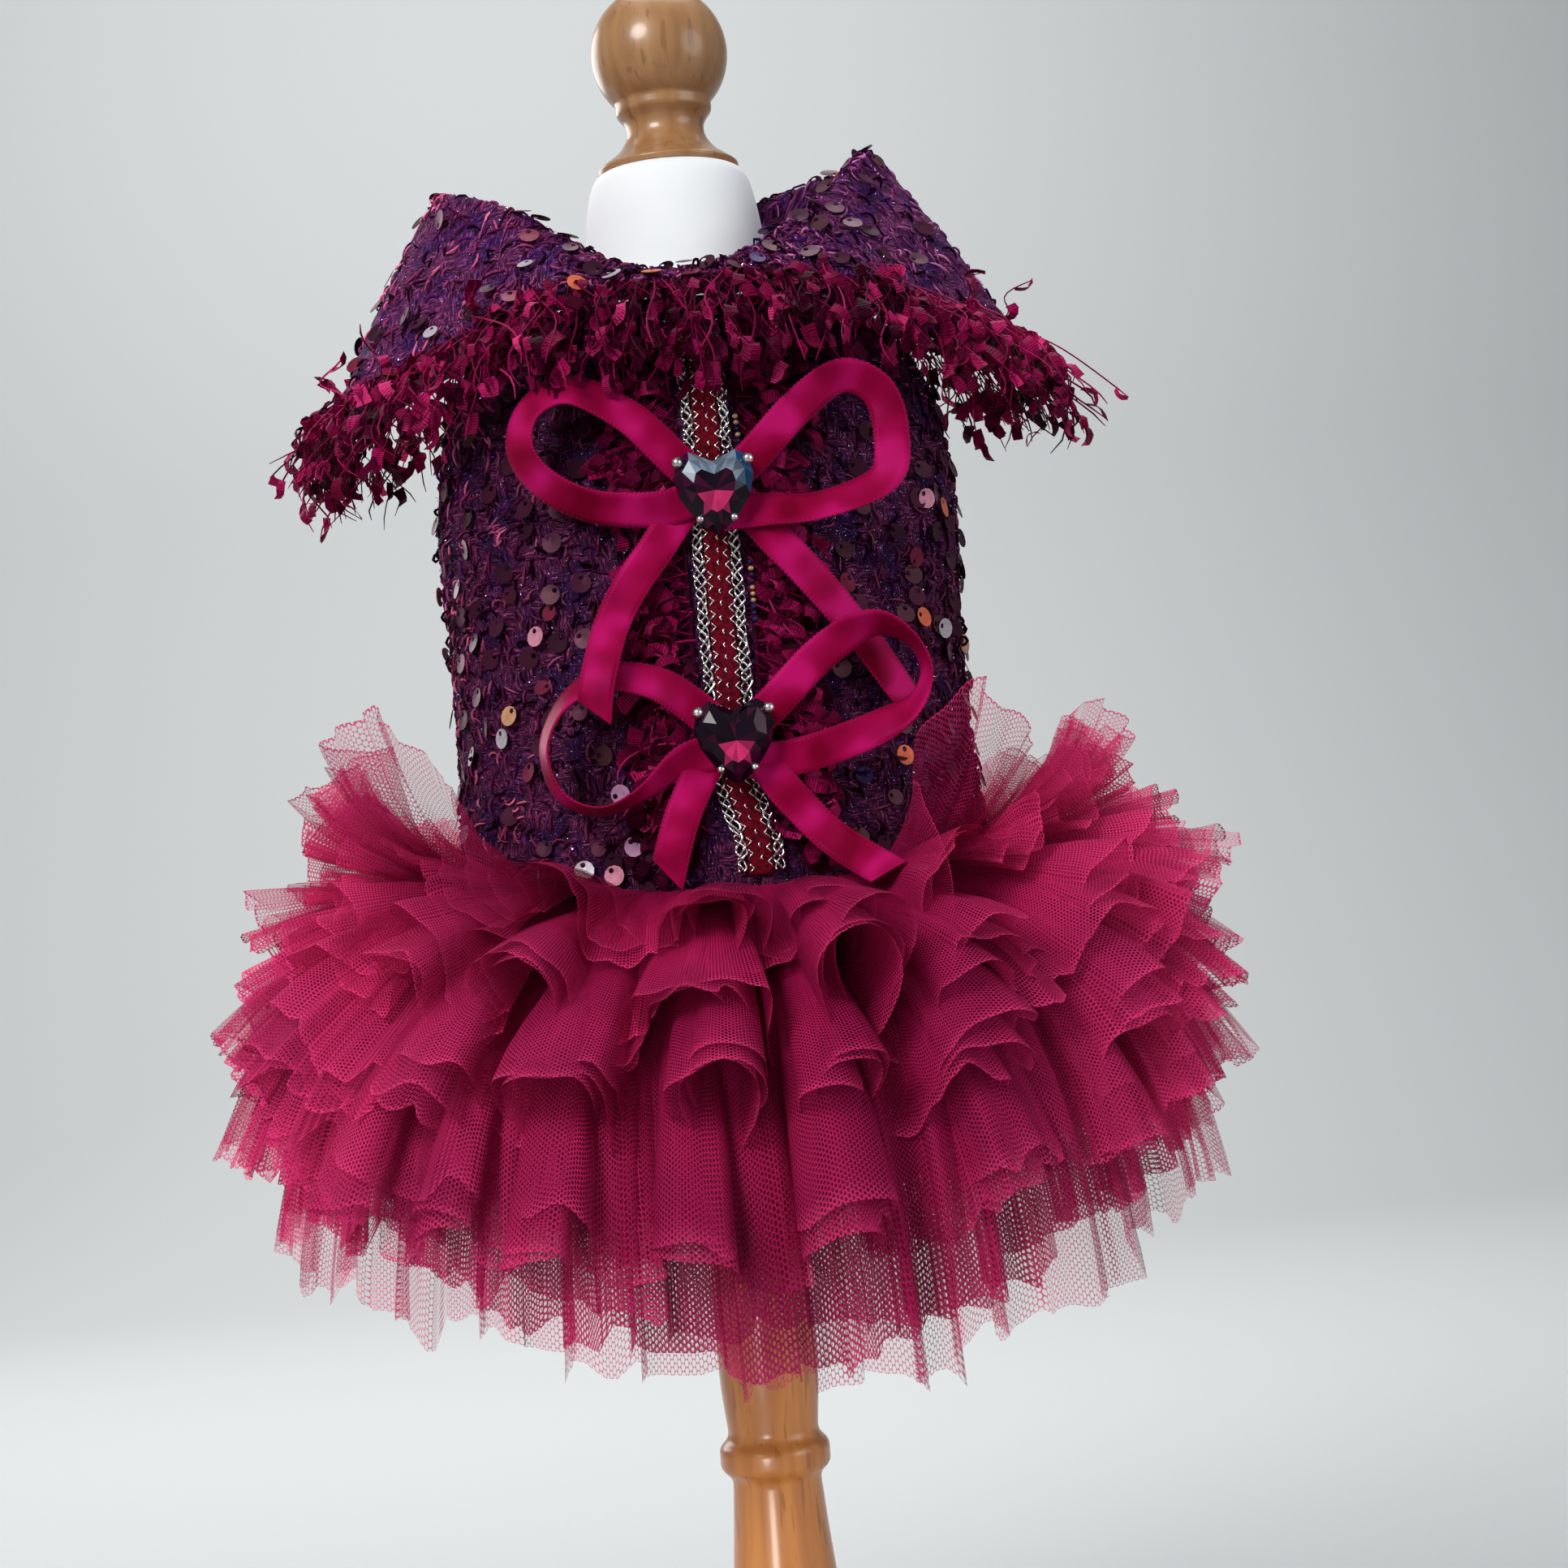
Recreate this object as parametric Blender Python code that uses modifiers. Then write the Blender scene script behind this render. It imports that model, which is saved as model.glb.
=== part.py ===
# Dog tutu dress on a small dress form, in metres, +Z up.
# The origin is the centre of the base's underside; the decorated side faces -Y.

import math
from collections import namedtuple

import bmesh
import bpy
from mathutils import Vector

MM = 0.001

# Stand and form
BASE_RADIUS = 95 * MM
BASE_HEIGHT = 18 * MM
POST_RADIUS = 14 * MM
POST_BEAD_RADIUS = 16.1 * MM
POST_BEAD_HEIGHT = 153.5 * MM
FORM_BOTTOM = 290 * MM
NECK_TOP = 531 * MM
NECK_TOP_RADIUS = 21 * MM
BALL_RADIUS = 20.3 * MM
BALL_HEIGHT = 567 * MM
FORM_CLEARANCE = 0.8 * MM
LEG_HOLE_EASE = 1.2 * MM
TOUCH_GAP = 0.3 * MM

# Bodice
CLOTH = 2.0 * MM
NECKLINE = 484 * MM
SIDE_SEAM = math.radians(100)
SEAM_GAP = 0.4 * MM
LEG_HOLE_HEIGHT = 445 * MM
LEG_HOLE_HALF_HEIGHT = 21 * MM
LEG_HOLE_HALF_WIDTH = 17 * MM
CLOSURE_OVERLAP = math.radians(8)
CLOSURE_STEP = 2.4 * MM

# Collar
COLLAR_CLOTH = 1.8 * MM
COLLAR_END = 145
COLLAR_COLUMNS = 44
FOLD_RADIUS = 2.0 * MM
FREE_CORNER_START = 112
COLLAR_FOOT_RISE = 2.0 * MM

# Fringe
BACKING_WIDTH = 3.0 * MM
BACKING_CLOTH = 1.4 * MM
COLLAR_STRANDS = 58
COLLAR_FRINGE_END = 114
PLACKET_STRANDS = 18
PLACKET_START = 26 * MM
PLACKET_END = 25 * MM

# A strand's three rings: a thread, a flat flag of ribbon and a narrower tip.
RING_WIDTHS = [0.9 * MM, 2.3 * MM, 1.3 * MM]
RING_DEPTHS = [0.9 * MM, 0.7 * MM, 0.6 * MM]

# A strand's first heading, the side its flat face shows, its bend to the ground from 0 to 1, its length.
Strand = namedtuple("Strand", "aim face bend length")

# Braid, bows and stones
VELVET_HALF_WIDTH = 2.9 * MM
CHAIN_OFFSET = 5.2 * MM
CHAIN_HALF_WIDTH = 2.0 * MM
BRAID_LIFT = CLOTH + TOUCH_GAP
VELVET_HEIGHT = 1.3 * MM
CHAIN_HEIGHT = 1.9 * MM
BRAID_BOTTOM = 322 * MM
BRAID_TOP = 483 * MM
RIBBON_WIDTH = 10 * MM
RIBBON_CLOTH = 1.0 * MM
LOOP_FALL_BACK = 1.8
BOW_TOP_HEIGHT = 426 * MM
BOW_BOTTOM_HEIGHT = 358 * MM
SETTING_LIFT = 8.7 * MM
SETTING_PLATE = 1.0 * MM
HEART_WIDTH = 22 * MM
HEART_HEIGHT = 23 * MM
HEART_LIFT = 10.0 * MM
HEART_DEPTH = 6.0 * MM

# Tulle
TULLE = 1.2 * MM
TIER_WAVES = 37
TIER_ROWS = 3
TIER_ROOT_LIFT = 2.9 * MM
TIER_SIDE_RAISE = 8 * MM
TIER_WANDER = 1.8 * MM

Section = namedtuple("Section", "height half_width half_depth")

# The inner face of the bodice cloth, bottom to top.
BODY_SECTIONS = [
    Section(302 * MM, 74.0 * MM, 54.0 * MM),
    Section(330 * MM, 74.5 * MM, 54.8 * MM),
    Section(360 * MM, 73.0 * MM, 54.0 * MM),
    Section(395 * MM, 72.5 * MM, 53.2 * MM),
    Section(424 * MM, 74.2 * MM, 54.0 * MM),
    Section(432 * MM, 74.2 * MM, 54.0 * MM),
    Section(445 * MM, 73.2 * MM, 53.4 * MM),
    Section(458 * MM, 70.5 * MM, 51.8 * MM),
    Section(466 * MM, 67.2 * MM, 49.8 * MM),
    Section(475 * MM, 61.5 * MM, 46.8 * MM),
    Section(484 * MM, 54.0 * MM, 43.5 * MM),
]

# The form below the bodice, and its shoulders and neck above it.
FORM_FOOT = [
    Section(290 * MM, 58.0 * MM, 42.0 * MM),
    Section(294 * MM, 68.0 * MM, 49.5 * MM),
]
FORM_NECK = [
    Section(484 * MM, 50.0 * MM, 40.0 * MM),
    Section(490 * MM, 37.0 * MM, 34.0 * MM),
    Section(498 * MM, 29.5 * MM, 29.0 * MM),
    Section(508 * MM, 27.0 * MM, 27.0 * MM),
    Section(520 * MM, 25.2 * MM, 25.2 * MM),
    Section(527 * MM, 23.6 * MM, 23.6 * MM),
    Section(531 * MM, 21.0 * MM, 21.0 * MM),
]

# The collar by angle round the neck, 0 at the front and positive to the right:
# the fold's reach from the axis and height, and those of the cape's edge.
CollarStation = namedtuple("CollarStation", "angle fold_reach fold_height edge_reach edge_height")
COLLAR = [
    CollarStation(-145, 44, 514, 47, 509),
    CollarStation(-125, 53, 519, 80, 486),
    CollarStation(-105, 65, 524, 98, 471),
    CollarStation(-88, 68, 526, 99, 470),
    CollarStation(-65, 58, 518, 78, 477),
    CollarStation(-45, 49, 505, 65, 485),
    CollarStation(-22, 46.5, 494, 54, 488),
    CollarStation(0, 46, 492, 51, 488),
    CollarStation(22, 46.5, 497, 54, 490),
    CollarStation(45, 48, 508, 65, 487),
    CollarStation(65, 53, 520, 77, 482),
    CollarStation(88, 59, 533, 98, 477),
    CollarStation(105, 58, 532, 95, 480),
    CollarStation(125, 49, 530, 70, 500),
    CollarStation(145, 44, 528, 47, 523),
]

# Each tier: the root's height in front, then the rim's reach and height at the side and in front,
# the lift of the curve between them, and the ruffle's height at the side and in front.
Tier = namedtuple("Tier", "root side_reach side_height front_reach front_height arch side_wave front_wave")
TIERS = [
    Tier(319, 113, 359, 106, 312, 7, 12, 7.5),
    Tier(315.5, 144, 320, 126, 284, 3, 10, 7),
    Tier(312, 147, 287, 135, 258, 2, 9, 7.5),
    Tier(308.5, 143, 253, 135, 231, 1, 9, 8),
    Tier(305, 127, 221, 126, 207, 0, 7, 7),
]

# Ribbon routes from the stone's centre: across, up, the lift out of the body and the turn of the
# ribbon's width out of the panel.
RoutePoint = namedtuple("RoutePoint", "across up lift turn")
BOW_TOP_LEFT = [
    RoutePoint(-3, 4, 6.7, 0), RoutePoint(-10, 11.5, 6.8, 0), RoutePoint(-22, 24, 9, 20),
    RoutePoint(-37, 31, 11, 35), RoutePoint(-48, 26.5, 12, 45), RoutePoint(-51.5, 17, 12, 45),
    RoutePoint(-45, 7.5, 11, 35), RoutePoint(-33, 0.5, 9.5, 15), RoutePoint(-15, -2.5, 8.1, 0),
]
BOW_TOP_RIGHT = [
    RoutePoint(-6, 0, 8.0, 0), RoutePoint(9, 7.5, 8.0, 0), RoutePoint(26, 20, 9.5, 20),
    RoutePoint(39, 25, 11, 35), RoutePoint(49, 19.5, 12, 45), RoutePoint(51.5, 9, 12, 45),
    RoutePoint(45, 0.5, 11, 35), RoutePoint(29, -4.5, 8.5, 10), RoutePoint(14, -6, 6.8, 0),
    RoutePoint(3, -4.5, 6.7, 0),
]
BOW_BOTTOM_LEFT = [
    RoutePoint(-3, 4, 6.7, 0), RoutePoint(-10, 11, 6.8, 0), RoutePoint(-20, 18, 10.5, 40),
    RoutePoint(-33, 20, 12.5, 65), RoutePoint(-45, 15, 12.5, 70), RoutePoint(-52, 3, 12.5, 70),
    RoutePoint(-48.5, -10, 12.5, 65), RoutePoint(-38, -15.5, 12, 50), RoutePoint(-26, -12, 9, 20),
    RoutePoint(-14, -5, 8.1, 0),
]
BOW_BOTTOM_RIGHT = [
    RoutePoint(-5, -1, 8.0, 0), RoutePoint(9, 8, 8.0, 0), RoutePoint(26, 22, 9.5, 20),
    RoutePoint(42, 29, 11, 35), RoutePoint(52, 24.5, 12, 45), RoutePoint(54, 14.5, 12, 50),
    RoutePoint(44, 4.5, 11, 35), RoutePoint(27, -2.5, 8.5, 10), RoutePoint(14, -5, 6.8, 0),
    RoutePoint(3, -4.5, 6.7, 0),
]
TAILS_TOP = [
    RoutePoint(-36, -56, 6.2, 0), RoutePoint(-32, -35, 6.2, 0), RoutePoint(-20, -17, 5.3, 0),
    RoutePoint(0, 3, 5.1, 0), RoutePoint(18, -15, 5.2, 0), RoutePoint(35, -36, 6.2, 0),
    RoutePoint(50, -59, 6.2, 0),
]
TAILS_BOTTOM = [
    RoutePoint(-20, -27, 5.4, 0), RoutePoint(-13.5, -15, 5.2, 0), RoutePoint(0, 3, 5.1, 0),
    RoutePoint(15, -15, 5.2, 0), RoutePoint(27, -27, 5.4, 0),
]

# Where the claws hold each stone, as a share of the heart outline's turn.
CLAW_TURNS = [0.2, 0.4, 0.6, 0.8]


def start_collections():
    """Empty the scene and return the collection that holds the dress."""
    for item in list(bpy.data.objects):
        bpy.data.objects.remove(item, do_unlink=True)
    parts = bpy.data.collections.new("dog_tutu_dress")
    cutters = bpy.data.collections.new("cutters")
    bpy.context.scene.collection.children.link(parts)
    bpy.context.scene.collection.children.link(cutters)
    return parts, cutters


PARTS, CUTTERS = start_collections()


def make_material(name, colour, roughness, metallic=0.0):
    material = bpy.data.materials.new(name)
    material.use_nodes = True
    shader = material.node_tree.nodes["Principled BSDF"]
    shader.inputs["Base Color"].default_value = (*colour, 1.0)
    shader.inputs["Roughness"].default_value = roughness
    shader.inputs["Metallic"].default_value = metallic
    return material


BEECH = make_material("beech", (0.62, 0.38, 0.19), 0.35)
WHITE = make_material("white_cover", (0.88, 0.90, 0.92), 0.7)
TWEED = make_material("sequin_tweed", (0.075, 0.02, 0.08), 0.75)
FRINGE = make_material("ladder_yarn", (0.25, 0.01, 0.06), 0.7)
VELVET = make_material("velvet", (0.13, 0.005, 0.02), 0.85)
SILVER = make_material("silver", (0.75, 0.74, 0.72), 0.25, 1.0)
SATIN = make_material("satin_ribbon", (0.42, 0.01, 0.14), 0.35)
CRYSTAL = make_material("crystal", (0.09, 0.01, 0.05), 0.05)
NET = make_material("tulle", (0.33, 0.02, 0.09), 0.8)


def add_object(name, vertices, faces, material, edges=()):
    mesh = bpy.data.meshes.new(name)
    mesh.from_pydata([tuple(v) for v in vertices], list(edges), faces)
    mesh.validate()
    mesh.materials.append(material)
    item = bpy.data.objects.new(name, mesh)
    PARTS.objects.link(item)
    return item


def shade_smooth(item, angle=35):
    item.data.shade_smooth()
    item.data.set_sharp_from_angle(angle=math.radians(angle))


def add_wall(item, thickness, offset):
    wall = item.modifiers.new("cloth", "SOLIDIFY")
    wall.thickness = thickness
    wall.offset = offset
    wall.use_even_offset = True
    wall.use_quality_normals = True
    return wall


def grid_faces(rows, columns, closed=False):
    """Quads of a grid whose points run along each row; row 0 is the lowest and faces point out."""
    faces = []
    spans = columns if closed else columns - 1
    for row in range(rows - 1):
        for column in range(spans):
            following = (column + 1) % columns
            faces.append((row * columns + column, row * columns + following,
                          (row + 1) * columns + following, (row + 1) * columns + column))
    return faces


def smooth_step(low, high, value):
    share = min(1.0, max(0.0, (value - low) / (high - low)))
    return share * share * (3 - 2 * share)


def between(rows, key, column, value):
    """Read a column of a table between its rows, in a straight line."""
    if value <= getattr(rows[0], key):
        return getattr(rows[0], column)
    for lower, upper in zip(rows, rows[1:]):
        if value <= getattr(upper, key):
            share = (value - getattr(lower, key)) / (getattr(upper, key) - getattr(lower, key))
            return getattr(lower, column) * (1 - share) + getattr(upper, column) * share
    return getattr(rows[-1], column)


def curve_value(points, place):
    """A smooth curve through evenly numbered values, read at a place between them."""
    last = len(points) - 1
    index = min(int(place), last - 1)
    share = place - index
    before = points[max(index - 1, 0)]
    here = points[index]
    after = points[index + 1]
    beyond = points[min(index + 2, last)]
    return 0.5 * (2 * here + (after - before) * share
                  + (2 * before - 5 * here + 4 * after - beyond) * share ** 2
                  + (3 * here - before - 3 * after + beyond) * share ** 3)


def body_radii(height):
    return (between(BODY_SECTIONS, "height", "half_width", height),
            between(BODY_SECTIONS, "height", "half_depth", height))


def body_point(turn, height, lift):
    """A point on the bodice: the turn goes round from the front, the lift is out of the inner face."""
    half_width, half_depth = body_radii(height)
    return Vector(((half_width + lift) * math.sin(turn), -(half_depth + lift) * math.cos(turn), height))


def body_point_across(across, height, lift):
    """The same for a point on the front, given by its distance across."""
    half_width, _ = body_radii(height)
    return body_point(math.asin(across / (half_width + lift)), height, lift)


def body_reach(angle, height, lift):
    """The bodice's distance from the axis in one direction."""
    half_width, half_depth = body_radii(height)
    wide, deep = half_width + lift, half_depth + lift
    return wide * deep / math.hypot(deep * math.sin(angle), wide * math.cos(angle))


def turn_profile(name, profile, material, steps):
    """Turn a profile that runs down the outer side from the axis to the axis."""
    points = [(radius, 0.0, height) for radius, height in profile]
    edges = [(index, index + 1) for index in range(len(points) - 1)]
    item = add_object(name, points, [], material, edges)
    screw = item.modifiers.new("turn", "SCREW")
    screw.axis = "Z"
    screw.angle = math.tau
    screw.steps = steps
    screw.render_steps = steps
    screw.use_merge_vertices = True
    screw.merge_threshold = 0.00001
    screw.use_smooth_shade = True
    return item


def make_base():
    edge = 5 * MM
    profile = [(0, BASE_HEIGHT), (BASE_RADIUS - 2 * edge, BASE_HEIGHT),
               (BASE_RADIUS - edge * 0.4, BASE_HEIGHT - edge * 0.5), (BASE_RADIUS, BASE_HEIGHT - 1.6 * edge),
               (BASE_RADIUS, edge * 0.4), (BASE_RADIUS - edge * 0.4, 0), (0, 0)]
    return turn_profile("stand_base", profile, BEECH, 32)


def make_post():
    top = FORM_BOTTOM - TOUCH_GAP
    foot = BASE_HEIGHT + TOUCH_GAP
    bead = POST_BEAD_HEIGHT
    profile = [(0, top), (POST_RADIUS, top), (POST_RADIUS, 240 * MM), (POST_RADIUS + 0.8 * MM, 178 * MM),
               (POST_RADIUS - 1.0 * MM, bead + 6 * MM), (POST_BEAD_RADIUS, bead + 3 * MM),
               (POST_BEAD_RADIUS, bead - 3 * MM), (POST_RADIUS - 1.2 * MM, bead - 6 * MM),
               (POST_RADIUS, 130 * MM), (POST_RADIUS + 3 * MM, 100 * MM), (POST_RADIUS - 2 * MM, 50 * MM),
               (POST_RADIUS + 6 * MM, 28 * MM), (POST_RADIUS + 6 * MM, foot), (0, foot)]
    return turn_profile("stand_post", profile, BEECH, 20)


def make_finial():
    foot = NECK_TOP + TOUCH_GAP
    rim = NECK_TOP_RADIUS
    neck = 11.5 * MM
    bead = 14.2 * MM
    profile = []
    start = 130
    rings = 8
    for ring in range(rings + 1):
        angle = math.radians(start * ring / rings)
        profile.append((BALL_RADIUS * math.sin(angle), BALL_HEIGHT + BALL_RADIUS * math.cos(angle)))
    profile[0] = (0, BALL_HEIGHT + BALL_RADIUS)
    profile += [(bead, 552.5 * MM), (bead, 549.5 * MM), (neck, 546 * MM), (neck, 542 * MM),
                (neck + 3 * MM, 537.5 * MM), (rim - 1.5 * MM, 534 * MM), (rim, foot + 1.5 * MM),
                (rim - 0.6 * MM, foot), (0, foot)]
    return turn_profile("finial", profile, BEECH, 20)


def make_torso():
    """The white limbless form: closed rings lofted from the flat foot to the neck's flat top."""
    columns = 30
    body = []
    for row in BODY_SECTIONS[:-1]:
        ease = FORM_CLEARANCE + (LEG_HOLE_EASE if leg_hole_turn(row.height) > 0 else 0)
        body.append(Section(row.height, row.half_width - ease, row.half_depth - ease))
    sections = FORM_FOOT + body + FORM_NECK
    vertices = []
    for section in sections:
        for column in range(columns):
            turn = math.tau * column / columns
            vertices.append((section.half_width * math.sin(turn), -section.half_depth * math.cos(turn),
                             section.height))
    faces = grid_faces(len(sections), columns, closed=True)
    faces.append(tuple(reversed(range(columns))))
    top = (len(sections) - 1) * columns
    faces.append(tuple(range(top, top + columns)))
    item = add_object("form_torso", vertices, faces, WHITE)
    shade_smooth(item, 50)
    return item


def leg_hole_turn(height):
    """How far the leg hole takes the panel's edge back, as a turn round the body."""
    offset = (height - LEG_HOLE_HEIGHT) / LEG_HOLE_HALF_HEIGHT
    if abs(offset) >= 1:
        return 0.0
    half_width, half_depth = body_radii(height)
    speed = math.hypot(half_width * math.cos(SIDE_SEAM), half_depth * math.sin(SIDE_SEAM))
    return LEG_HOLE_HALF_WIDTH * math.sqrt(1 - offset * offset) / speed


def closure_rise(turn):
    """The step outwards of the belly panel that laps over the other, at the centre of the back."""
    degrees = math.degrees(turn) % 360
    return CLOSURE_STEP * smooth_step(150, 166, degrees) * (1 - smooth_step(192, 206, degrees))


def make_panel(name, edges, columns, rise=None):
    """A bodice panel between two edges, which are turns worked out at each height."""
    vertices = []
    for section in BODY_SECTIONS:
        first, last = edges(section.height)
        for column in range(columns + 1):
            turn = first + (last - first) * column / columns
            lift = rise(turn) if rise else 0.0
            vertices.append(body_point(turn, section.height, lift))
    item = add_object(name, vertices, grid_faces(len(BODY_SECTIONS), columns + 1), TWEED)
    add_wall(item, CLOTH, 1.0)
    shade_smooth(item)
    return item


def make_bodice():
    half_gap = SEAM_GAP / (2 * BODY_SECTIONS[0].half_depth)
    overlap = math.pi + CLOSURE_OVERLAP

    def seam_front(height):
        return SIDE_SEAM - half_gap - leg_hole_turn(height)

    def seam_rear(height):
        return SIDE_SEAM + half_gap + leg_hole_turn(height)

    make_panel("back_panel", lambda height: (-seam_front(height), seam_front(height)), 20)
    make_panel("belly_panel_right", lambda height: (seam_rear(height), overlap), 11, closure_rise)
    make_panel("belly_panel_left", lambda height: (math.tau - overlap, math.tau - seam_rear(height)), 11)


def collar_value(column, angle):
    """Read a collar column at an angle, as a smooth curve through the stations."""
    place = 0.0
    for index, (lower, upper) in enumerate(zip(COLLAR, COLLAR[1:])):
        if angle >= lower.angle:
            place = index + (min(angle, upper.angle) - lower.angle) / (upper.angle - lower.angle)
    return curve_value([getattr(row, column) for row in COLLAR], place) * MM


def collar_section(angle):
    """The collar's middle line at an angle, as (reach, height): foot, stand, fold, fall and edge."""
    turn = math.radians(angle)
    fold = Vector((collar_value("fold_reach", angle), collar_value("fold_height", angle)))
    edge = Vector((collar_value("edge_reach", angle), collar_value("edge_height", angle)))
    seam = Vector((body_reach(turn, NECKLINE, CLOTH / 2), NECKLINE + COLLAR_FOOT_RISE))
    freed = smooth_step(FREE_CORNER_START, COLLAR_END, abs(angle)) * 0.82
    foot = seam.lerp(fold - Vector((FOLD_RADIUS, FOLD_RADIUS)), freed)
    inner = fold + Vector((-FOLD_RADIUS, -FOLD_RADIUS))
    outer = fold + Vector((FOLD_RADIUS, -FOLD_RADIUS * 0.9))
    bulge = (edge - outer).length * 0.06
    middle = outer.lerp(edge, 0.5) + Vector((bulge, bulge * 0.5))
    return [foot, foot.lerp(inner, 0.5), inner, fold, outer, middle, edge]


def around(angle, reach, height):
    turn = math.radians(angle)
    return Vector((reach * math.sin(turn), -reach * math.cos(turn), height))


def collar_angles(count):
    return [-COLLAR_END + 2 * COLLAR_END * index / count for index in range(count + 1)]


def make_collar():
    angles = collar_angles(COLLAR_COLUMNS)
    sections = [collar_section(angle) for angle in angles]
    rows = len(sections[0])
    vertices = []
    for row in range(rows):
        for angle, section in zip(angles, sections):
            vertices.append(around(angle, section[row].x, section[row].y))
    faces = [tuple(reversed(face)) for face in grid_faces(rows, len(angles))]
    item = add_object("collar", vertices, faces, TWEED)
    add_wall(item, COLLAR_CLOTH, 0.0)
    shade_smooth(item, 50)
    return item


def strand_rings(root, side, strand, limit):
    """The rings of one strand, which starts along its aim and bends towards the ground."""
    down = Vector((0, 0, -1))
    centre = sum(root, Vector()) / 3
    across = side
    deep = root[1] - root[0]
    deep = (deep - across * deep.dot(across)).normalized()
    places = [((corner - centre).dot(across), (corner - centre).dot(deep)) for corner in root]
    wide_root = max(wide for wide, _ in places) - min(wide for wide, _ in places)
    deep_root = max(depth for _, depth in places) - min(depth for _, depth in places)
    steps = len(RING_WIDTHS)
    rings = []
    for step in range(steps):
        share = strand.bend * (step + 0.6) / steps
        heading = (strand.aim * (1 - share) + down * share).normalized()
        centre = limit(centre + heading * strand.length / steps)
        flat = heading.cross(strand.face).normalized()
        across = flat if flat.dot(across) > 0 else -flat
        normal = heading.cross(across).normalized()
        deep = normal if normal.dot(deep) > 0 else -normal
        rings.append([centre + across * wide / wide_root * RING_WIDTHS[step]
                      + deep * depth / deep_root * RING_DEPTHS[step] for wide, depth in places])
    return rings


def make_fringe(name, stations, strand_of, limit):
    """A backing strip of four-cornered stations, with one strand grown from each cell's outer face.

    A station's corners run inner upper, inner lower, outer lower, outer upper.
    """
    vertices = [corner for station in stations for corner in station]
    faces = [(3, 2, 1, 0)]
    last = (len(stations) - 1) * 4
    faces.append((last, last + 1, last + 2, last + 3))
    for cell in range(len(stations) - 1):
        low, high = cell * 4, cell * 4 + 4
        for corner in (0, 1, 3):
            following = (corner + 1) % 4
            faces.append((low + corner, low + following, high + following, high + corner))
        outer = (low + 2, low + 3, high + 3, high + 2)
        faces.append((outer[0], outer[2], outer[3]))
        root = [outer[0], outer[1], outer[2]]
        side = (vertices[outer[3]] - vertices[outer[0]]).normalized()
        corners = [vertices[index] for index in root]
        rings = strand_rings(corners, side, strand_of(cell, stations[cell]), limit)
        previous = root
        for ring in rings:
            start = len(vertices)
            vertices += ring
            current = [start, start + 1, start + 2]
            for corner in range(3):
                following = (corner + 1) % 3
                faces.append((previous[corner], previous[following], current[following], current[corner]))
            previous = current
        faces.append(tuple(previous))
    item = add_object(name, vertices, faces, FRINGE)
    face_outwards(item)
    return item


def spread(index, step, low, high):
    """An even but unordered spread of values between two limits."""
    return low + (high - low) * ((index * step) % 1.0)


def make_collar_fringe():
    stations = []
    for cell in range(COLLAR_STRANDS + 1):
        angle = COLLAR_FRINGE_END * (2 * cell / COLLAR_STRANDS - 1)
        section = collar_section(angle)
        edge = section[-1]
        fall = (edge - section[-2]).normalized()
        across = Vector((-fall.y, fall.x)) * (BACKING_CLOTH / 2)
        near = edge + fall * (TOUCH_GAP + 0.2 * MM)
        far = near + fall * BACKING_WIDTH
        stations.append([around(angle, corner.x, corner.y)
                         for corner in (near + across, near - across, far - across, far + across)])

    def strand_of(cell, station):
        angle = COLLAR_FRINGE_END * (2 * (cell + 0.5) / COLLAR_STRANDS - 1)
        along = stations[cell + 1][3] - station[3]
        outward = along.cross(Vector((0, 0, 1))).normalized()
        fall = (outward * 0.5 - Vector((0, 0, 0.85))).normalized()
        wing = smooth_step(40, 75, abs(angle)) * (1 - smooth_step(112, 140, abs(angle)))
        rise = (0.4 + 0.35 * math.sin(2.0 * cell)) * wing
        length = (19 + 13 * wing + spread(cell, 0.382, 0, 5)) * MM
        return Strand((fall + outward * rise).normalized(), outward, 1.0, length)

    def keep_clear(point):
        angle = math.atan2(point.x, -point.y)
        reach = math.hypot(point.x, point.y)
        surface = body_reach(angle, point.z, CLOTH)
        low, high = surface + 3.0 * MM, surface + 5.4 * MM
        flung = smooth_step(24, 60, abs(math.degrees(angle)))
        wanted = max(low, min(reach, high) * (1 - flung) + reach * flung)
        return Vector((wanted * math.sin(angle), -wanted * math.cos(angle), point.z))

    return make_fringe("collar_fringe", stations, strand_of, keep_clear)


def braid_heights(low, high):
    inner = [row.height for row in BODY_SECTIONS if low + MM < row.height < high - MM]
    return [low] + inner + [high]


def make_strip(name, centre, half_width, height, low, high, material, crown=0.0):
    """A raised strip on the front panel; its crown is how much its middle stands over its edges."""
    vertices = []
    heights = braid_heights(low, high)
    top = BRAID_LIFT + height
    corners = [(-half_width, BRAID_LIFT), (half_width, BRAID_LIFT), (half_width, top - crown), (0, top),
               (-half_width, top - crown)]
    for level in heights:
        for across, lift in corners:
            vertices.append(body_point_across(centre + across, level, lift))
    count = len(corners)
    faces = [tuple(reversed(face)) for face in grid_faces(len(heights), count, closed=True)]
    faces.append(tuple(range(count)))
    start = (len(heights) - 1) * count
    faces.append(tuple(reversed(range(start, start + count))))
    return add_object(name, vertices, faces, material)


def make_braid():
    make_strip("braid_velvet", 0.0, VELVET_HALF_WIDTH, VELVET_HEIGHT, BRAID_BOTTOM, BRAID_TOP, VELVET,
               0.1 * MM)
    for name, side in (("braid_chain_left", -1), ("braid_chain_right", 1)):
        make_strip(name, side * CHAIN_OFFSET, CHAIN_HALF_WIDTH, CHAIN_HEIGHT, BRAID_BOTTOM, BRAID_TOP,
                   SILVER, 0.8 * MM)


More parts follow.
